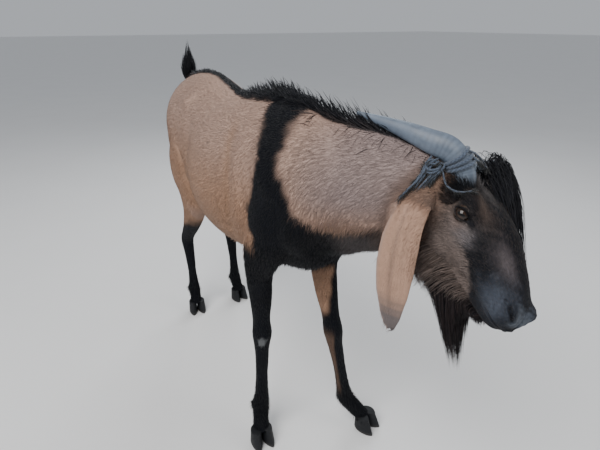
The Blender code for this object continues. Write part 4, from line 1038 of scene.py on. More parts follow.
skin_hollow = hollows()
print("skin area", round(skin_areas.sum(), 3), "square metres,", len(skin_triangles), "triangles")


def scatter(wanted, spacing, seed):
    """Roots on the wanted triangles, about this far apart: points, normals, lie and place on the map."""
    random = np.random.default_rng(seed)
    share = skin_areas * wanted
    count = int(6 * share.sum() / spacing**2)
    chosen = random.choice(len(share), count, p=share / share.sum())
    a, b = random.random(count), random.random(count)
    a, b = np.where(a + b > 1, 1 - a, a), np.where(a + b > 1, 1 - b, b)
    weights = np.stack([1 - a - b, a, b], 1)[..., None]
    ids = skin_triangles[chosen]
    places = (skin_points[ids] * weights).sum(1)
    cells = np.floor(places / spacing).astype(np.int64)
    key = (cells[:, 0] * 73856093) ^ (cells[:, 1] * 19349663) ^ (cells[:, 2] * 83492791)
    kept = np.unique(key, return_index=True)[1]
    ids, weights = ids[kept], weights[kept]
    normals = unit((skin_normals[ids] * weights).sum(1))
    lie = unit(flat_on(normals, (skin_lie[ids] * weights).sum(1)))
    lean = 0.007 * (skin_hollow[ids] * weights[..., 0]).sum(1, keepdims=True)
    return places[kept], normals, unit(lie + normals * lean), skin_map[ids[:, 0]]


# %% [markdown]
# ## One tuft, and a whole coat
# A tuft is a few dozen hairs that cling together: flat, tapered and bent along the lie. As a solid it
# is a three-sided blade of a few rings and a point. The whole coat is built at once: every
# ring of every blade is one line of array arithmetic, and the tufts differ in length, width and turn.

# %% Blades along the lie
def hair(name, middle, across, out, half, spots, base, tone, random):
    """Blades as one mesh, from the middle line of each. Every step has a left, a right and an upper
    corner, which stands 0.45 of the half width out, and the tip is one point."""
    count, rows = len(middle), middle.shape[1] - 1
    corner = np.stack([
        middle - across * half[..., None],
        middle + across * half[..., None],
        middle + out[:, None] * (half * 0.45 + 0.0002)[..., None],
    ], 2)[:, :-1]
    points = np.concatenate([corner.reshape(count, rows * 3, 3), middle[:, -1:]], 1)
    each = rows * 3 + 1
    faces = (np.arange(count)[:, None, None] * each + blade_faces(rows)).reshape(-1, 3)
    piece = new_piece(name, points.reshape(-1, 3), faces)
    along = np.append(np.repeat(np.arange(rows) / rows, 3), 1)
    shades = random.normal(1, tone, count)[:, None] * (0.88 + 0.20 * along)
    set_colours(piece, (base[:, None] * shades[..., None]).reshape(-1, 3))
    set_map(piece, spots, faces, rows, each)
    return piece


def blades(name, roots, out, lie, length, width, rise, seed, rows=2, bend=0.0, wave=0.0, fall=0.0, spots=None,
           spread=0.25, colours=None, sunk=0.0012, tone=0.10, lift=None, turn=0.5):
    """Blades along the lie. At share s of its length a blade's middle is root + lie * length * s
    + out * length * (rise * s - bend * s^2) + side * wave * sin(2 pi s) - up * fall * s^2, and its half
    width is width * (1 - s^2.2). A lift gives each blade a rise of its own."""
    random = np.random.default_rng(seed)
    count = len(roots)
    length = np.broadcast_to(length, count) * random.uniform(0.72, 1.22, count)
    width = np.broadcast_to(width, count) * random.uniform(0.75, 1.25, count)
    side = unit(np.cross(out, lie))
    lie = unit(lie + side * random.normal(0, spread, count)[:, None])
    side = unit(np.cross(out, lie))
    s = np.arange(rows + 1) / rows
    swing = wave * np.sin(2 * math.pi * s[None] + random.uniform(0, 6.28, count)[:, None]) * s[None]
    rise = np.broadcast_to(rise if lift is None else lift, count) * random.uniform(0.7, 1.4, count)
    up_way = (rise[:, None] * s - bend * s**2) * length[:, None]
    middle = roots[:, None] - out[:, None] * sunk + lie[:, None] * (length[:, None] * s)[..., None]
    middle = middle + out[:, None] * up_way[..., None] + side[:, None] * swing[..., None] * length[:, None, None]
    middle = middle - UP * ((fall * length)[:, None] * s**2)[..., None]
    half = width[:, None] * (1 - s**2.2) * (0.75 + 0.25 * np.sin(math.pi * s)) / 2
    across = unit(side + out * random.normal(0, turn, count)[:, None])[:, None]
    base = coat_colour(roots) if colours is None else colours
    return hair(name, middle, across, out, half, spots, base, tone, random)


def swept(name, roots, controls, tips, out, spots, width, seed, colours, rows=5, tone=0.22, wave=0.0012):
    """Blades along the curve (1 - s)^2 root + 2 s (1 - s) control + s^2 tip, with a small side wave."""
    random = np.random.default_rng(seed)
    count = len(roots)
    s = np.linspace(0, 1, rows + 1)
    weight = np.stack([(1 - s) ** 2, 2 * s * (1 - s), s**2])
    middle = np.einsum("ks,kni->nsi", weight, np.stack([roots - out * 0.002, controls, tips]))
    side = unit(np.cross(out, tips - roots))
    swing = wave * np.sin(2 * math.pi * s[None] + random.uniform(0, 6.28, count)[:, None]) * s[None]
    middle = middle + side[:, None] * swing[..., None]
    width = width * random.uniform(0.7, 1.3, count)
    half = width[:, None] * (1 - s**2.4) * (0.70 + 0.30 * np.sin(math.pi * s)) / 2
    across = unit(side + out * random.normal(0, 0.6, count)[:, None])[:, None]
    return hair(name, middle, across, unit(out), half, spots, colours, tone, random)


def blade_faces(rows):
    """Two triangles for each side of each ring step, three up to the point, and one that shuts the root."""
    faces = [(0, 1, 2)]
    for i in range(rows - 1):
        for j in range(3):
            a, b = i * 3 + j, i * 3 + (j + 1) % 3
            faces += [(a, a + 3, b), (b, a + 3, b + 3)]
    last, point = (rows - 1) * 3, rows * 3
    faces += [(last + j, point, last + (j + 1) % 3) for j in range(3)]
    return np.array(faces)


PATCH = 0.003


def set_map(piece, spots, faces, rows, each):
    """Each tuft is a patch 0.003 across at its root's place: one way its length, the other its sides."""
    inside = faces % each
    ring, corner = np.minimum(inside // 3, rows), inside % 3
    along = PATCH * (ring / rows - 0.5)
    beside = PATCH * np.where(inside == rows * 3, 0.0, np.array((-0.5, 0.5, 0.0))[corner])
    spot = spots[faces // each]
    layer = piece.data.uv_layers.new(name="OFBake")
    flat = np.stack([spot[..., 0] + along, spot[..., 1] + beside], -1)
    layer.data.foreach_set("uv", np.clip(flat, 0, 1).astype(np.float32).ravel())


print("a short tuft has", len(blade_faces(1)), "triangles, a long lock", len(blade_faces(5)))

# %% [markdown]
# ## The short coat
# On a goat the short coat lies flat. Most of it is bump in the skin's material, and fine tufts break
# the form and the outline on every side. They are longest on the barrel and neck, shorter on the
# legs, and shortest on the face and ears, where each hair is a few millimetres long.

# %% Short tufts over body, legs, face and ears
mid_face = face_share(skin_middles)
mid_ear, _, _ = ear_part(skin_middles)
mid_forward, mid_left, mid_up = body_places(skin_middles).T
mid_head = head_places(skin_middles)


def bare(points):
    """1 where no hair grows: on the eyeballs, the rims of the lids and the nose pad."""
    along, out, left = head_places(points).T
    found = soft(along - 0.242, 0.006) * soft(out + 0.026, 0.008) * soft(0.019 - np.abs(left), 0.006)
    for side in SIDES:
        a, u, distance = eye_places(points, side)
        found = np.maximum(found, (almond(a, u) < 1.30) & (distance < 0.03))
    return found


hairy = 1 - bare(skin_middles)
leg_share = step_up((0.46 - mid_up) / 0.10)
body_share = (1 - mid_face) * (1 - mid_ear) * (mid_up > 0.046)
trunk = body_share * (1 - leg_share)
# wanted places, spacing, length, width, rise, spread of the shades
PARTS_OF_COAT = {
    "coat_rump": (trunk * (mid_forward < -0.50), 0.0031, 0.0125, 0.0015, 0.085, 0.040),
    "coat_barrel": (trunk * (mid_forward >= -0.50) * (mid_forward < -0.22), 0.0030, 0.0125, 0.0015, 0.085, 0.040),
    "coat_shoulder": (trunk * (mid_forward >= -0.22) * (mid_forward < 0.03), 0.0031, 0.0120, 0.0015, 0.10, 0.055),
    "coat_neck": (trunk * (mid_forward >= 0.03), 0.0029, 0.0125, 0.0014, 0.10, 0.065),
    "coat_legs": (body_share * leg_share, 0.0030, 0.0085, 0.0014, 0.11, 0.060),
    "coat_face": (mid_face * hairy * (1 - mid_ear), 0.0020, 0.0070, 0.0010, 0.15, 0.090),
    "coat_ears": (mid_ear, 0.0023, 0.0060, 0.0010, 0.10, 0.045),
}
# The face's hair by the way along the head: long on the forehead and short on the muzzle
FACE_LENGTH = table("-20 16, 40 14, 90 9, 150 6.5, 200 4.5, 250 2.8")
coat = []
for number, (name, (wanted, spacing, length, width, rise, tone)) in enumerate(PARTS_OF_COAT.items()):
    roots, out, lie, spots = scatter(wanted, spacing, 100 + number)
    colours = coat_colour(roots)
    lift = None
    if name == "coat_legs":
        fetlock = bell(roots[:, 2], 0.100, 0.045)
        length, lift = length * (1 + 0.7 * fetlock), rise + 0.26 * fetlock
    if name == "coat_face":
        length = np.interp(head_places(roots)[:, 0], *FACE_LENGTH.T)
        paler = np.random.default_rng(150).random(len(roots)) ** 3
        colours = mix(colours, GREY_BROWN, 0.40 * paler)
    coat.append(blades(name, roots, out, lie, length, width, rise, 200 + number, rows=1, spots=spots, tone=tone,
                       colours=colours, spread=0.20, turn=0.30, sunk=0.0003, lift=lift))
    print(name, len(roots), "tufts,", len(coat[-1].data.polygons), "triangles")

# %% [markdown]
# ## The mane
# Black hair stands along the back, thickest over the withers, and leans backwards. On the neck it
# parts and falls down both sides in long strands. Roots are taken from the skin close to the middle
# line, and a root's distance from that line decides how much its lock stands or falls.

# %% Mane along the back and crest of the neck
MANE_ROWS = table("-830 10, -700 13, -450 16, -340 20, -220 30, -120 46, 0 56, 100 54, 200 50")


def mane(name, low, high, spacing, seed):
    """Locks whose root lies near the middle line: they stand up there and lean outwards beside it."""
    beside = np.abs(mid_left - middle_line(mid_forward))
    upper = (mid_up > np.where(mid_forward < -0.70, 0.806, 0.745)) & (mid_forward > low) & (mid_forward < high)
    upper &= mid_face < 0.5
    thick = step_up((np.interp(mid_forward, *BACK_LINE.T) + 0.006 - beside) / 0.010)
    loose = 0.05 * step_up((0.046 - beside) / 0.01) * (mid_forward > -0.04)
    wanted = upper * np.maximum(thick, loose) * (1 - mid_ear)
    roots, out, lie, spots = scatter(wanted, spacing, seed)
    forward, left, _ = body_places(roots).T
    offset = (left - middle_line(forward))
    stands = step_up((0.030 - np.abs(offset)) / 0.026)
    back = np.stack([0 * forward, np.ones_like(forward), 0 * forward], 1)
    outwards = np.stack([np.sign(offset), 0 * forward, 0 * forward], 1)
    outwards = outwards * np.minimum(np.abs(offset) / 0.03, 1)[:, None]
    fall = 0.30 * step_up((forward + 0.02) / 0.10)
    upright = 0.62 * stands - 0.4 * fall * (1 - stands)
    way = back * 0.72 + outwards * (0.35 + 0.75 * fall)[:, None] + UP * upright[:, None]
    hangs = (np.random.default_rng(seed + 5).random(len(roots)) < 0.20) & (forward > -0.10)
    over = np.stack([np.sign(offset), 0 * forward, 0 * forward], 1) + back * 0.20 - UP * 0.8
    way = np.where(hangs[:, None], over, way)
    flat = way - out * (way * out).sum(1, keepdims=True)
    tall = np.minimum((way * out).sum(1) / np.linalg.norm(flat, axis=1), 2.2)
    length = np.interp(forward, *MANE_ROWS.T) * (0.70 + 0.30 * stands) * np.where(hangs, 0.80, 1)
    colours = mix(coat_colour(roots), BLACK, np.where(hangs, 0.60, 0.85))
    return blades(name, roots, out, unit(flat), length / np.sqrt(1 + tall.mean() ** 2),
                  np.where(hangs, 0.0014, 0.0025), 0.0, seed + 1,
                  rows=5, bend=0.12, wave=0.08, fall=np.where(hangs, 0.50, 0.12), spots=spots, spread=0.17,
                  colours=colours, sunk=0.002, tone=0.18, lift=np.where(hangs, 0.16, np.maximum(tall, 0.12)))


coat.append(mane("mane_back", -0.79, -0.02, 0.0034, 301))
coat.append(mane("mane_neck", -0.02, 0.26, 0.0032, 311))
for piece in coat[-2:]:
    print(piece.name, len(piece.data.polygons), "triangles")

# %% [markdown]
# ## Beard, forelock, tail and fringes
# Long hair hangs in locks that draw together. A lock here is swept from its root past a control
# point to a tip of its own. The beard's tips gather at one point, the forelock's bulge over the far
# side of the brow and fall beside the face, and the tail's stand up and part. Brown locks on the
# jaw hang over the black ones, and dark ones lie over the rim of each horn.

# %% Locks that are swept to a tip
BEARD_TIP = body_points((0.330, 0.072, 0.436))
BEARD_SHARE = table("50 340, 66 480, 90 700, 108 880, 126 1000, 146 780, 168 380, 190 220, 225 120")


def random_colours(count, dark, light, most, seed):
    """Each lock's own colour between two, so that neighbours part from each other."""
    return mix(np.tile(dark, (count, 1)), light, np.random.default_rng(seed).uniform(0, most, count))


def beard():
    """Locks under the jaw: each reaches a share of the way to one tip, with a sideways spread."""
    random = np.random.default_rng(41)
    along, out, left = mid_head.T
    wanted = (along > 0.052) & (along < 0.222) & (out < -0.056 - 0.10 * np.abs(left)) & (np.abs(left) < 0.032)
    wanted &= (out > -0.16) & (mid_face > 0.5)
    roots, normals, _, spots = scatter(wanted * 1.0, 0.0024, 42)
    along, out, left = head_places(roots).T
    share = np.interp(along, *BEARD_SHARE.T) * random.uniform(0.62, 1.04, len(roots))
    beside = SIDE * (left * 0.35 + random.normal(0, 0.005, len(roots)))[:, None]
    beside = beside + NOSE * random.normal(0, 0.005, len(roots))[:, None]
    tips = roots + (BEARD_TIP + beside - roots) * share[:, None]
    controls = roots * 0.5 + tips * 0.5 + normals * 0.004 - NOSE * 0.012 - BROW * 0.004 + beside * 0.4
    colours = random_colours(len(roots), BLACK, BEARD_BROWN, 1.0, 44)
    return swept("beard", roots, controls, tips, unit(normals - UP * 0.3), spots, 0.0019, 43, colours)


def jaw():
    """Brown locks at the side of the jaw that hang down and back, over the roots of the beard."""
    random = np.random.default_rng(46)
    along, out, left = mid_head.T
    edge = -0.052 - 0.20 * np.clip(0.10 - along, 0, 0.1)
    wanted = (along > 0.000) & (along < 0.188) & (out < edge) & (out > -0.150) & (np.abs(left) > 0.004)
    roots, normals, lie, spots = scatter(wanted * (mid_face > 0.5) * (1 - mid_ear), 0.0029, 47)
    along, out, left = head_places(roots).T
    reach = np.interp(along, (0.0, 0.05, 0.10, 0.15, 0.188), (0.030, 0.054, 0.066, 0.054, 0.022))
    reach = (reach * random.uniform(0.6, 1.1, len(roots)))[:, None]
    hang = unit(-UP * 0.80 - BROW * 0.35 - NOSE * 0.30 + SIDE * (np.sign(left) * 0.16)[:, None])
    hang = unit(hang + random.normal(0, 0.10, roots.shape))
    controls = roots + unit(lie + normals * 0.65) * reach * 0.45
    colours = mix(coat_colour(roots), GREY_BROWN, random.uniform(0.1, 0.7, len(roots)))
    colours = mix(colours, BLACK, np.clip(random.uniform(-1.1, 0.5, len(roots)), 0, 1))
    return swept("jaw_locks", roots, controls, controls + hang * reach * 0.75, normals, spots, 0.0014, 48, colours,
                 rows=3)


def forelock():
    """Locks behind and beside the far brow. Each passes a middle place that bulges outwards, so its
    control point is 2 * middle - (root + tip) / 2, and its tip lies beside the face."""
    random = np.random.default_rng(51)
    along, out, left = mid_head.T
    wanted = (along > -0.045) & (along < 0.085) & (out > 0.010) & (left > -0.004 + 0.30 * np.maximum(along, 0))
    wanted &= left < 0.070
    roots, normals, _, spots = scatter(wanted * (mid_face > 0.2) * (1 - mid_ear), 0.0028, 52)
    count = len(roots)
    reach = 0.055 + 0.145 * random.random(count) ** 1.3
    across = np.clip(head_places(roots)[:, 2] + random.normal(0.004, 0.007, count), 0.0, 0.074)
    forward = 0.35 * (reach - 0.06) + random.uniform(-0.022, 0.026, count)
    middle = head_points(np.stack([
        forward,
        0.087 - 11 * (across - 0.034) ** 2 - 0.30 * np.maximum(forward, 0) - random.random(count) ** 1.2 * 0.032,
        across,
    ], 1))
    tips = head_points(np.stack([
        reach,
        0.080 - 0.43 * reach + random.normal(0, 0.004, count),
        0.068 - 0.18 * reach - 0.25 * (0.04 - across) + random.normal(0, 0.005, count),
    ], 1))
    colours = random_colours(count, BLACK, SOOT, 0.9, 54)
    controls = 2 * middle - 0.5 * (roots + tips)
    return swept("forelock", roots, controls, tips, normals, spots, 0.0021, 53, colours, rows=8)


def horn_rims():
    """Short dark locks round the base of each horn, which lean up along it and over its rim."""
    random = np.random.default_rng(56)
    foot = {side: head_points(HORN_PATHS[side][0]) for side in SIDES}
    near = np.minimum(*(np.linalg.norm(skin_middles - foot[side], axis=1) for side in SIDES))
    roots, normals, lie, spots = scatter((near < 0.034) * (near > 0.012) * (mid_face > 0.3), 0.0019, 57)
    side = np.where(head_places(roots)[:, 2] < 0, RIGHT, LEFT)
    centre = np.where((side == RIGHT)[:, None], foot[RIGHT], foot[LEFT])
    inward = unit(centre - roots)
    way = unit(normals * 1.0 + inward * 0.10 + lie * 0.5 + random.normal(0, 0.18, roots.shape))
    reach = random.uniform(0.008, 0.018, len(roots))[:, None]
    left = np.abs(head_places(roots)[:, 2])
    colours = mix(coat_colour(roots), BLACK, random.uniform(0.6, 1.0, len(roots)) * soft(left - 0.030, 0.012))
    controls = roots + way * reach * 0.6
    return swept("horn_rim_locks", roots, controls, controls + unit(way + lie) * reach * 0.6, normals, spots,
                 0.0011, 58, colours, rows=3, wave=0.0006)


def tail():
    """Locks round the short core that rise, lean back a little and taper to a brush."""
    random = np.random.default_rng(61)
    wanted = (mid_forward < -0.765) & (mid_up > 0.812) & (np.abs(mid_left) < 0.024)
    roots, normals, _, spots = scatter(wanted * 1.0, 0.0021, 62)
    high = step_up((roots[:, 2:] - 0.82) / 0.06)
    reach = random.uniform(0.030, 0.086, len(roots))[:, None] * (0.75 + 0.25 * high)
    tips = roots + (UP + normals * 0.30 * (1 - high) + random.normal(0, 0.05, roots.shape)) * reach
    drawn = np.clip((tips[:, 2:] - 0.850) / 0.070, 0, 1) ** 1.3
    top = body_points((-0.806, 0.012, 0.0)) * [1, 1, 0]
    tips = tips + (top - tips * [1, 1, 0]) * 0.80 * drawn
    controls = roots * 0.5 + tips * 0.5 + (normals * [1, 1, 0]) * 0.010
    colours = random_colours(len(roots), BLACK, SOOT, 0.9, 64)
    return swept("tail_hair", roots, controls, tips, normals, spots, 0.0017, 63, colours)


# Fringes where the coat is longer: wanted places, spacing, length, width, rise, fall
low_neck = (mid_forward > 0.04) * (mid_up < 0.66) * (1 - mid_face)
FRINGES = {
    "fringe_chest": (((mid_forward > -0.12) & (mid_forward < 0.10) & (mid_up < 0.585) & (mid_up > 0.46)) * 1.0,
                     0.0048, 0.022, 0.0019, 0.20, 0.22),
    "fringe_throat": (low_neck * (1 - mid_ear), 0.0042, 0.018, 0.0016, 0.20, 0.24),
    "fringe_belly": (((mid_forward > -0.50) & (mid_forward < -0.12) & (mid_up < 0.475)) * (1 - leg_share * 0.5),
                     0.0054, 0.020, 0.0019, 0.18, 0.28),
    "fringe_cheek": (((mid_head[:, 0] > 0.000) & (mid_head[:, 0] < 0.165) & (mid_head[:, 1] < 0.010)
                      & (mid_face > 0.5)) * (1 - mid_ear) * hairy, 0.0044, 0.0150, 0.0017, 0.16, 0.06),
    "fringe_thigh": (((mid_forward < -0.74) & (mid_up > 0.50) & (mid_up < 0.70)) * 1.0,
                     0.0052, 0.020, 0.0019, 0.14, 0.08),
}
coat += [beard(), jaw(), forelock(), tail()]
for number, (name, (wanted, spacing, length, width, rise, fall)) in enumerate(FRINGES.items()):
    roots, out, lie, spots = scatter(wanted, spacing, 400 + number)
    coat.append(blades(name, roots, out, lie, length, width, rise, 420 + number, rows=3, bend=rise * 0.5,
                       fall=fall, wave=0.04, spots=spots, tone=0.24 if name == "fringe_cheek" else 0.10))
for piece in coat[-9:]:
    print(piece.name, len(piece.data.polygons), "triangles")

# %% [markdown]
# ## Eyes
# A goat's iris is amber round a long pupil that lies level, with a dark rim where the white begins.
# The ball is a sphere that bulges a little at the clear cornea. Its colours are worked out at its
# points, and a wet gloss over them does the rest. The lashes are short curved blades.

# %% Eyeballs and lashes
AMBER, IRIS_EDGE, PUPIL, EYE_WHITE = linear("#311d0c"), linear("#0e0905"), linear("#030303"), linear("#4a3c32")


def eyeball(side, rows=72, sides=96):
    """A sphere, pushed out by 0.9 mm * e^(-(angle / 0.5)^2) at the cornea, with its pole looking out."""
    out, along, over = eye_frame(side)
    v = np.linspace(0.01, math.pi - 0.01, rows)[:, None]
    u = np.arange(sides)[None] * 2 * math.pi / sides
    ball = np.stack([np.cos(v) + 0 * u, np.sin(v) * np.cos(u), np.sin(v) * np.sin(u)], -1)
    ball *= (EYE_RADIUS + 0.0009 * np.exp(-((v / 0.5) ** 2)))[..., None]
    points, faces = closed(EYES[side] + ball @ np.array([out, along, over]))
    piece = new_piece("eyeball_right" if side == RIGHT else "eyeball_left", points, faces)
    away = (points - EYES[side]) / EYE_RADIUS
    level = unit(NOSE - UP * NOSE[2] + NOSE * 0.35)
    level = unit(level - out * (out @ level))
    a, b = away @ level, away @ np.cross(out, level)
    radius = np.hypot(a, b)
    spokes = 0.5 + 0.5 * np.sin(np.arctan2(b, a) * 46 + radius * 9)
    colour = mix(AMBER, IRIS_EDGE, 0.35 * spokes + 0.4 * soft(radius - 0.45, 0.3))
    colour = mix(colour, EYE_WHITE, soft(radius - 0.80, 0.10))
    colour = mix(colour, IRIS_EDGE, bell(radius, 0.72, 0.09))
    slit = soft(1 - (np.abs(a / 0.44) ** 4 + np.abs(b / 0.17) ** 4), 0.5)
    set_colours(piece, mix(colour, PUPIL, slit), "eye")
    return out_turned(piece)


def lashes(side, count=46):
    """Curved blades rooted along the upper lid's edge, leaning out, up and a little back."""
    out, along, over = eye_frame(side)
    t = np.linspace(-0.86, 0.86, count)
    u = ALMOND_UP * (1 - np.abs(t) ** ALMOND_POWER) ** (1 / ALMOND_POWER) + 0.0006
    roots = on_ball(side, ALMOND_LENGTH * t, u, EYE_RADIUS + LID_THICK)
    lie = unit(out * 0.85 + over * 0.45 - along * 0.25 + along * t[:, None] * 0.5)
    normal = unit(over - lie * (lie @ over)[:, None])
    return blades("lashes_right" if side == RIGHT else "lashes_left", roots, normal, lie, 0.0075, 0.0007, 0.1,
                  71, rows=4, bend=-0.35, spots=unwrap(roots), spread=0.12,
                  colours=np.tile(BLACK, (count, 1)), sunk=0.0006)


eyes = {side: eyeball(side) for side in SIDES}
coat += [lashes(side) for side in SIDES]
print("eyeballs of", len(eyes[RIGHT].data.polygons), "triangles")

# %% [markdown]
# ## Horns
# A horn is a keratin sheath that grows from its base in rings, so the rings are close and bold at
# the base and fade towards the smooth tip. It is a tapered tube along its sweep, deeper than wide,
# with a blunt keel in front, and its radius rises and falls with the rings.

# %% Horns
HORN_SIZES = table("26 19 19, 25.5 18 18, 22.5 16.5 16.5, 19 14.5 14.5, 12.5 10 10, 3.5 3.5 3.5")
HORN_PATHS = {
    RIGHT: table("42 22 -30, 19 46 -38, -6 62 -62, -37 51 -91, -86 28 -121, -143 -2 -157"),
    LEFT: table("42 22 30, 19 42 38, -9 46 54, -37 28 71, -72 -6 90, -104 -50 110"),
}
# The horn's darkest colour is painted shade at its base, where it meets the skin and the hair.
HORN_BASE_SHADE = linear("#1b222c")
# The horn's greys lean blue: its own grey with a painted blue reflection of the sky.
HORN_GREY, HORN_DARK, HORN_LIGHT = linear("#596473"), linear("#2f3844"), linear("#727e8d")


def horn(side, rows=26, sides=56):
    """Radius = station size * (1 + ring waves + keel + long grooves), with the rings fading to the tip."""
    table = between(np.hstack([head_points(HORN_PATHS[side]), np.array(HORN_SIZES)]), rows)
    grid = rings(table[:, :3], table[:, 3:], SIDE, sides)
    share = np.linspace(0, 1, len(table))[:, None]
    angle = np.arange(sides)[None] * 2 * math.pi / sides
    fade = step_up((0.86 - share) / 0.5)
    count = 30 * share**0.85 + 0.05 * np.sin(angle * 2)
    ring = np.abs(np.sin(math.pi * count)) ** 0.7
    broad = np.sin(2 * math.pi * share * 4.4 + 0.3 * np.cos(angle))
    line = np.sin(angle * 19 + share * 3) * 0.004 + np.sin(angle * 7 + share * 2) * 0.006
    scale = 1 + fade * (0.012 * (ring - 0.6) + 0.012 * broad) + line * 0.6 + 0.03 * np.maximum(np.cos(angle), 0) ** 6
    middle = table[:, None, :3]
    points, faces = closed(middle + (grid - middle) * scale[..., None])
    piece = new_piece("horn_right_sheath" if side == RIGHT else "horn_left_sheath", points, faces)
    # Painted shade: the furrows between the rings are darker and the crests lighter, fading with the rings towards
    # the tip.
    shade = np.append((ring * fade + (1 - fade) * 0.7 + 0 * angle).ravel(), (0.5, 0.5))
    # Painted shade: darkest at the base of the horn and gone a fifth of the way up.
    root = np.append(soft(0.150 - share - 0.02 * np.sin(angle * 3), 0.10).ravel(), (1.0, 0.0))
    tone = 0.5 + 0.5 * wobble(points, 0.03, 81)
    colour = mix(HORN_DARK, HORN_GREY, 0.45 + 0.55 * shade)
    colour = mix(mix(colour, HORN_LIGHT, 0.45 * tone), HORN_BASE_SHADE, 0.85 * root)
    set_colours(piece, colour, "horn")
    return out_turned(piece)


horns = {side: horn(side) for side in SIDES}
coat.append(horn_rims())
print("horns of", len(horns[RIGHT].data.polygons), "triangles")

# %% [markdown]
# ## Hooves
# Each foot has two claws of dark horn, flat on the ground, pointed at the toe and rounded at the
# heel, with fine growth lines level round the wall. A claw is a stack of outlines from the sole to
# the hair line, and each outline is a rounded form with a narrowed toe.

# %% Hooves
# The foot's (forward, left) and the turn of its toe outwards in degrees
FEET = {
    "forehoof_right": (-0.046, -0.130, 4),
    "forehoof_left": (0.050, 0.130, 20),
    "hindhoof_right": (-0.690, -0.084, 8),
    "hindhoof_left": (-0.690, 0.084, 8),
}
# (height, half width, length towards the toe, length towards the heel)
CLAW = table("""
    0 12.5 32 21, 1.2 13.5 34 22, 5 14.5 34 23, 14 14.2 30 22.5, 24 13.5 26 22, 34 13 21 21,
    42.5 12.6 18.5 20.2, 43.7 11 16.5 18""")
CLAW_SPREAD, CLAW_SPLAY = 0.0148, 6
HOOF_DARK, HOOF_GREY, DUST = linear("#0a0b0e"), linear("#181a1f"), linear("#3f3d3b")


def claw(name, foot, half):
    """Outlines at each height, with growth lines 0.25 mm deep and 2.6 mm apart down the wall."""
    forward, left, turn = FEET[foot]
    angle = math.radians((RIGHT if left < 0 else LEFT) * turn + half * CLAW_SPLAY)
    toe = np.array([math.sin(angle), -math.cos(angle), 0])
    across = np.array([math.cos(angle), math.sin(angle), 0])
    middle = body_points((forward, left, 0)) + across * half * CLAW_SPREAD
    table = between(np.array(CLAW), 5)
    table[:, 0] = np.clip(table[:, 0], 0, 0.0437)
    ridges = 1 + 0.010 * np.sin(2 * math.pi * table[:, :1] / 0.0052) * step_up(table[:, :1] / 0.006)
    centres = middle + UP * table[:, :1]
    grid = centres[:, None] + (rings(centres, table[:, 1:], toe, 40, 1.5) - centres[:, None]) * ridges[..., None]
    grid[..., 2] = np.clip(table[:, :1], 0, 0.0437)
    points, faces = closed(grid)
    piece = new_piece(name, points, faces)
    lines = 0.5 + 0.5 * np.sin(2 * math.pi * points[:, 2] / 0.0026 + 2 * wobble(points, 0.03, 91))
    colour = mix(HOOF_DARK, HOOF_GREY, 0.30 + 0.35 * lines)
    set_colours(piece, mix(colour, DUST, 0.6 * soft(0.007 - points[:, 2], 0.010)), "horn")
    return out_turned(piece)


claws = {}
for foot in FEET:
    for half, word in WORD.items():
        claws[f"{foot}_{word}_claw"] = claw(f"{foot}_{word}_wall", foot, half)
print("claws:", len(claws))

# %% [markdown]
# ## The frayed cord
# The animal wears a cord of three twisted strands, wound three times round the base of one horn and
# knotted, with short frayed ends. It is bound tight to the horn and holds nothing, so it is part of
# the dress and not a free cord. A tube whose radius swells three times round its section, turning
# along its length, looks twisted, and loose fibres are the same blades as the hair.

# %% Cord, knot and fibres
CORD_RADIUS, CORD_TWIST = 0.0034, 0.014
# The darkest cord colour is painted shade for the valleys between the plies; the palest is also a painted highlight
# on their crests.
CORD_BLUE, CORD_PALE, CORD_PLY_SHADE = linear("#3f4b5d"), linear("#808d9f"), linear("#1b232f")


def twisted(line, radius, rows=6, sides=18, ends=0.6):
    """Radius = r * (0.80 + 0.26 * |cos(1.5 * (angle - 2 pi * length / twist))|), thinner at both ends."""
    path = between(line, rows)
    walked = np.concatenate([[0], np.cumsum(np.linalg.norm(np.diff(path, axis=0), axis=1))])
    share = walked / walked[-1]
    size = radius * (ends + (1 - ends) * np.sin(math.pi * np.clip(share, 0.02, 0.98)) ** 0.4)
    grid = rings(path, np.repeat(size[:, None], 3, 1), SIDE + UP * 0.1, sides)
    angle = np.arange(sides)[None] * 2 * math.pi / sides - 2 * math.pi * walked[:, None] / CORD_TWIST
    ply = np.abs(np.cos(1.5 * angle))
    middle = path[:, None]
    points, faces = closed(middle + (grid - middle) * (0.80 + 0.26 * ply)[..., None])
    return points, faces, np.append(ply.ravel(), (0.5, 0.5)), walked[-1]


def windings(turns=3.0, steps=84):
    """A helix round the horn: the horn's own section plus the cord's radius, climbing a little each turn."""
    table = between(np.hstack([head_points(HORN_PATHS[RIGHT][:4]), np.array(HORN_SIZES[:4])]), 8)
    place = np.linspace(9.6, 14.4, steps)
    row = np.stack([np.interp(place, np.arange(len(table)), table[:, i]) for i in range(6)], 1)
    axis = unit(np.gradient(row[:, :3], axis=0))
    top = unit(SIDE - axis * (axis @ SIDE)[:, None])
    flank = np.cross(top, axis)
    angle = np.linspace(0, turns * 2 * math.pi, steps) + 1.1
    across = flank * (np.cos(angle) * (row[:, 3] + CORD_RADIUS * 0.7))[:, None]
    return row[:, :3] + across + top * (np.sin(angle) * (row[:, 4] + CORD_RADIUS * 0.7))[:, None]


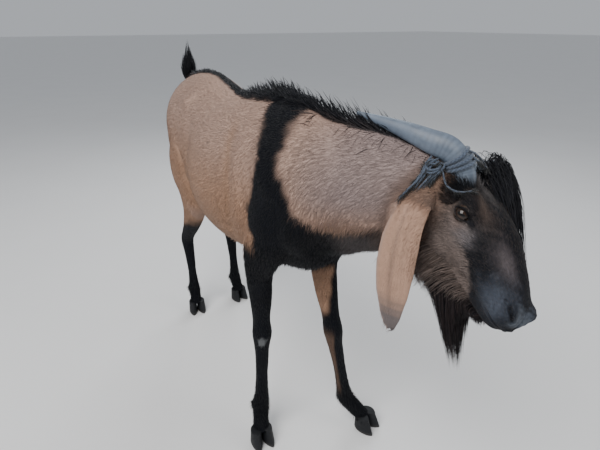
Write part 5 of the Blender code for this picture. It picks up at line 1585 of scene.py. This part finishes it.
# Loose ends, the loops of the knot and a frayed turn under the rim, as (along, out, left) on the head
STRANDS = [table(line) for line in """\
    -2 46 -78, -1 31 -87, 8 20 -93, 16 4 -99, 21 -13 -106, 26 -30 -112
    6 46 -75, 8 36 -76, 17 21 -85, 23 6 -91, 28 -6 -96
    10 48 -71, 13 38 -71, 19 20 -82, 27 4 -88, 30 -4 -90
    2 44 -77, 4 30 -85, 14 13 -92, 22 -4 -97
    -10 42 -85, -4 30 -89, 8 14 -94, 12 4 -98
    12 44 -70, 16 30 -74, 24 14 -81
    10 83 -58, 10 82 -40, 16 78 -22, 26 72 -10
    16 80 -52, 22 78 -34, 20 74 -18
    14 38 -70, 34 29 -66, 50 32 -61, 62 42 -56, 66 52 -48
    4 44 -72, 12 36 -78, 6 26 -88, -4 30 -90, -4 40 -82, 8 40 -74
    10 40 -72, 14 28 -82, 6 20 -91, 0 28 -91, 4 40 -80""".splitlines()]


def cord():
    """The windings, the knot and the loose ends as one piece, with painted shade and highlight on the plies."""
    parts = [twisted(windings(), CORD_RADIUS, 2, ends=0.9)]
    parts += [twisted(head_points(line), CORD_RADIUS * (0.45 if i == 8 else 0.62)) for i, line in enumerate(STRANDS)]
    points, faces = stacked([part[:2] for part in parts])
    ply = np.concatenate([part[2] for part in parts])
    piece = new_piece("frayed_cord", points, faces)
    # Painted shade in the valleys between the plies, and a painted highlight on their crests.
    colour = mix(CORD_PLY_SHADE, CORD_BLUE, np.clip(ply * 1.3, 0, 1))
    set_colours(piece, mix(colour, CORD_PALE, 0.5 * np.clip(ply - 0.55, 0, 1)), "cord")
    return piece, sum(part[3] for part in parts)


def fibres(count=1700):
    """Loose fibres along every strand, more at its end, as thin blades leaning along and away from it."""
    random = np.random.default_rng(95)
    roots, lie = [], []
    for line in STRANDS:
        path = between(head_points(line), 20)
        way = unit(np.gradient(path, axis=0))
        chosen = (len(path) * random.random(count // len(STRANDS)) ** 0.55).astype(int).clip(0, len(path) - 1)
        roots.append(path[chosen])
        lie.append(way[chosen])
    roots, lie = np.vstack(roots), np.vstack(lie)
    out = unit(random.normal(0, 1, roots.shape))
    out = unit(out - lie * (out * lie).sum(1, keepdims=True))
    lie = unit(lie + out * random.uniform(0.05, 0.5, len(roots))[:, None] - UP * 0.2)
    colour = mix(CORD_BLUE, CORD_PALE, random.uniform(0, 1, len(roots)))
    return blades("cord_fibres", roots, out, lie, 0.013, 0.0009, 0.1, 96, rows=3, wave=0.10,
                  spots=unwrap(roots), colours=colour, sunk=0.0, fall=0.2)


cord_piece, cord_length = cord()
cord_fibres = fibres()
print("cord laid:", round(cord_length, 3), "m in all")

# %% [markdown]
# ## Materials
# Each piece carries its colours at its points, so a material adds only what the eye sees closer up:
# how the surface shines, and its finest grain as bump. Hair is keratin, which has a soft sheen at
# low angles. The skin between the tufts gets hair as bump, drawn long along the body on the map that
# the tufts share. The eye is wet, and horn is worn smooth.

# %% One function for nodes, one for a material
def add(material, kind, settings=None, links=None, inputs=None):
    """Adds a node, sets its properties and its inputs' values, and links {input: (node, output)}."""
    node = material.node_tree.nodes.new(kind)
    for key, value in (settings or {}).items():
        setattr(node, key, value)
    for key, value in (inputs or {}).items():
        node.inputs[key].default_value = value
    for key, (other, output) in (links or {}).items():
        material.node_tree.links.new(other.outputs[output], node.inputs[key])
    return node


def finish_of(name, attribute, rough, shader, colour_change=0.12, change_size=0.02, bump_node=None):
    """A Principled shader whose colour is the attribute's, lightened and darkened by soft noise. Its
    roughness goes between two values with the same noise."""
    material = bpy.data.materials.new(name)
    material.use_nodes = True
    material.node_tree.nodes.clear()
    place = add(material, "ShaderNodeTexCoord")
    own = add(material, "ShaderNodeAttribute", {"attribute_name": attribute})
    patch = add(material, "ShaderNodeTexNoise", links={"Vector": (place, "Object")},
                inputs={"Scale": 1 / change_size, "Detail": 5.0, "Roughness": 0.65})
    ramp = add(material, "ShaderNodeMapRange", links={"Value": (patch, "Fac")},
               inputs={"From Min": 0.3, "From Max": 0.7, "To Min": 1 - colour_change, "To Max": 1 + colour_change})
    tinted = add(material, "ShaderNodeVectorMath", {"operation": "SCALE"},
                 {"Vector": (own, "Color"), "Scale": (ramp, "Result")})
    dull = add(material, "ShaderNodeMapRange", links={"Value": (patch, "Fac")},
               inputs={"From Min": 0.3, "From Max": 0.7, "To Min": rough[0], "To Max": rough[1]})
    links = {"Base Color": (tinted, "Vector"), "Roughness": (dull, "Result")}
    if bump_node:
        links["Normal"] = bump_node(material, place)
    principled = add(material, "ShaderNodeBsdfPrincipled", inputs=shader, links=links)
    add(material, "ShaderNodeOutputMaterial", links={"Surface": (principled, "BSDF")})
    return material


def grain(scale, distance, strength, squeeze=(1, 1, 1), source="Object", detail=3.0):
    """Bump from noise whose grain is 1 / scale metres across, squeezed so that it runs long one way."""
    def build(material, place):
        if source == "Object":
            vector = (place, "Object")
        else:
            vector = (add(material, "ShaderNodeUVMap", {"uv_map": source}), "UV")
        shape = add(material, "ShaderNodeMapping", links={"Vector": vector}, inputs={"Scale": squeeze})
        noise = add(material, "ShaderNodeTexNoise", links={"Vector": (shape, "Vector")},
                    inputs={"Scale": scale, "Detail": detail, "Roughness": 0.6})
        bump = add(material, "ShaderNodeBump", links={"Height": (noise, "Fac")},
                   inputs={"Strength": strength, "Distance": distance})
        return bump, "Normal"
    return build


# %% [markdown]
# ### The coat, the horn, the eye and the cord
# Hair strands of a goat are about 0.06 mm thick, too fine to show, so the hair bump is drawn 0.7 mm
# wide. Horn has an index of 1.54 and goes from satin to dull where it is scratched.

# %% The materials
# short goat hair, lying flat: a soft shine along the body and a pale bloom at low angles
HAIR = {"IOR": 1.45, "Specular IOR Level": 0.12, "Sheen Weight": 0.05, "Sheen Roughness": 0.45}
skin_coat = finish_of("short goat hair on skin", "coat", (0.52, 0.68), HAIR, 0.10, 0.012,
                      grain(1.0, 0.0005, 0.6, (150, 2000, 1), "hair_way", 4.0))
# tufts of the same hair: the strands in a tuft break up its shine
tuft_coat = finish_of("goat hair tufts", "coat", (0.52, 0.68), HAIR, 0.14, 0.010, grain(900, 0.0002, 0.35))
# coarse black guard hair of mane, beard and tail: smoother and glossier than the underhair
long_coat = finish_of("coarse guard hair", "coat", (0.36, 0.50),
                      {"IOR": 1.45, "Specular IOR Level": 0.16, "Sheen Weight": 0.02},
                      0.18, 0.008, grain(700, 0.0002, 0.35))
# horn sheath, grown and then rubbed on posts: satin, with fine grooves along it
horn_keratin = finish_of("ringed horn keratin", "horn", (0.36, 0.58),
                         {"IOR": 1.54, "Specular IOR Level": 0.5},
                         0.16, 0.014, grain(520, 0.0004, 0.5))
# hoof wall: the same keratin, dusty and scuffed
hoof_keratin = finish_of("dusty hoof keratin", "horn", (0.50, 0.74),
                         {"IOR": 1.54, "Specular IOR Level": 0.3}, 0.18, 0.008,
                         grain(700, 0.0004, 0.6))
# cornea over the iris: wet and clear, so it mirrors the lights in a small spot
eye_wet = finish_of("wet eyeball", "eye", (0.04, 0.08), {"IOR": 1.38, "Coat Weight": 0.35, "Coat Roughness": 0.02},
                    0.05, 0.003)
# polypropylene twine weathered to grey-blue: dull, with broken fibres
cord_fibre = finish_of("weathered twine", "cord", (0.78, 0.92), {"Sheen Weight": 0.3}, 0.22, 0.004,
                       grain(1500, 0.0004, 0.8))
print("materials:", [m.name for m in bpy.data.materials][-7:])

# %% [markdown]
# ## Joining the imported frame
# Every piece rides on the one body, and the fine forms take the place of the solids
# that they follow.

# %% Dress, ride and replace
DARK = {"mane_back", "mane_neck", "beard", "forelock", "horn_rim_locks", "tail_hair", "lashes_right",
        "lashes_left"}


def dress(piece, material):
    piece.data.materials.clear()
    piece.data.materials.append(material)
    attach(piece, "root")


dress(skin, skin_coat)
for piece in coat:
    dark = piece.name in DARK
    dress(piece, long_coat if dark else tuft_coat)
dress(cord_piece, cord_fibre)
dress(cord_fibres, cord_fibre)
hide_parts("torso", "neck", "head", "tail", "ear_right", "ear_left",
            "foreleg_right", "foreleg_left", "hindleg_right", "hindleg_left")
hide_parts("cord")
for side, word in WORD.items():
    dress(eyes[side], eye_wet)
    dress(horns[side], horn_keratin)
    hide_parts(f"eye_{word}")
    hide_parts(f"horn_{word}")
for node, piece in claws.items():
    dress(piece, hoof_keratin)
    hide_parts(node)
for piece in (skin, *coat, cord_fibres):
    print(piece.name, len(piece.data.polygons))

# %% [markdown]
# ## Floor, light and camera
# The floor is plain and pale. The photograph's light is an open sky from the near side and above, so
# a broad soft area light stands there, with a weaker one from the head's side and a pale world.

# %% Stage
def plain_floor():
    """A flat square under the feet with a smooth pale finish."""
    half = 40.0
    points = np.array(((-half, -half, 0), (half, -half, 0), (half, half, 0), (-half, half, 0)), float)
    mesh = bpy.data.meshes.new("floor")
    mesh.from_pydata(points.tolist(), [], [(0, 1, 2, 3)])
    floor = bpy.data.objects.new("floor", mesh)
    bpy.context.scene.collection.objects.link(floor)
    material = bpy.data.materials.new("matt pale floor")
    material.use_nodes = True
    material.node_tree.nodes.clear()
    place = add(material, "ShaderNodeTexCoord")
    noise = add(material, "ShaderNodeTexNoise", links={"Vector": (place, "Object")}, inputs={"Scale": 2.5})
    ramp = add(material, "ShaderNodeMapRange", links={"Value": (noise, "Fac")},
               inputs={"To Min": 0.74, "To Max": 0.78})
    principled = add(material, "ShaderNodeBsdfPrincipled", inputs={"Roughness": 0.8},
                     links={"Base Color": (ramp, "Result")})
    add(material, "ShaderNodeOutputMaterial", links={"Surface": (principled, "BSDF")})
    mesh.materials.append(material)


def area_light(name, place, aim, size, watts, colour):
    """A square soft light of the given size that faces its aim."""
    light = bpy.data.lights.new(name, "AREA")
    light.energy, light.size, light.color = watts, size, colour
    obj = bpy.data.objects.new(name, light)
    obj.location = place
    way = unit(np.array(aim) - np.array(place))
    obj.rotation_euler = (math.acos(-way[2]), 0, math.atan2(way[0], -way[1]) + math.pi)
    bpy.context.scene.collection.objects.link(obj)


plain_floor()
area_light("sky", (-1.9, -0.9, 2.9), (0, 0, 0.5), 2.2, 105, (1.0, 0.985, 0.96))
area_light("front", (1.6, -1.8, 1.6), (0.1, -0.2, 0.6), 1.4, 14, (1.0, 0.98, 0.95))
area_light("rim", (1.2, 1.8, 2.2), (0, 0, 0.6), 1.2, 30, (0.95, 0.98, 1.0))
world = bpy.data.worlds.new("studio")
world.use_nodes = True
world.node_tree.nodes["Background"].inputs["Color"].default_value = (0.90, 0.94, 1.0, 1)
world.node_tree.nodes["Background"].inputs["Strength"].default_value = 0.50
bpy.context.scene.world = world

# %% [markdown]
# ### The camera
# It stands where the photograph was taken: a little above the back, close to the forefeet, tipped
# down by 24.3 degrees, with a wide lens that makes the near head large.

# %% Camera
lens = bpy.data.cameras.new("camera")
lens.lens, lens.sensor_width = 27, 36
camera = bpy.data.objects.new("camera", lens)
camera.location = (MIDLINE_X - 0.466, FORE_FEET_Y - 0.720, 0.987)
camera.rotation_euler = (math.radians(90 - 24.3), 0, math.radians(-30.4))
bpy.context.scene.collection.objects.link(camera)
bpy.context.scene.camera = camera
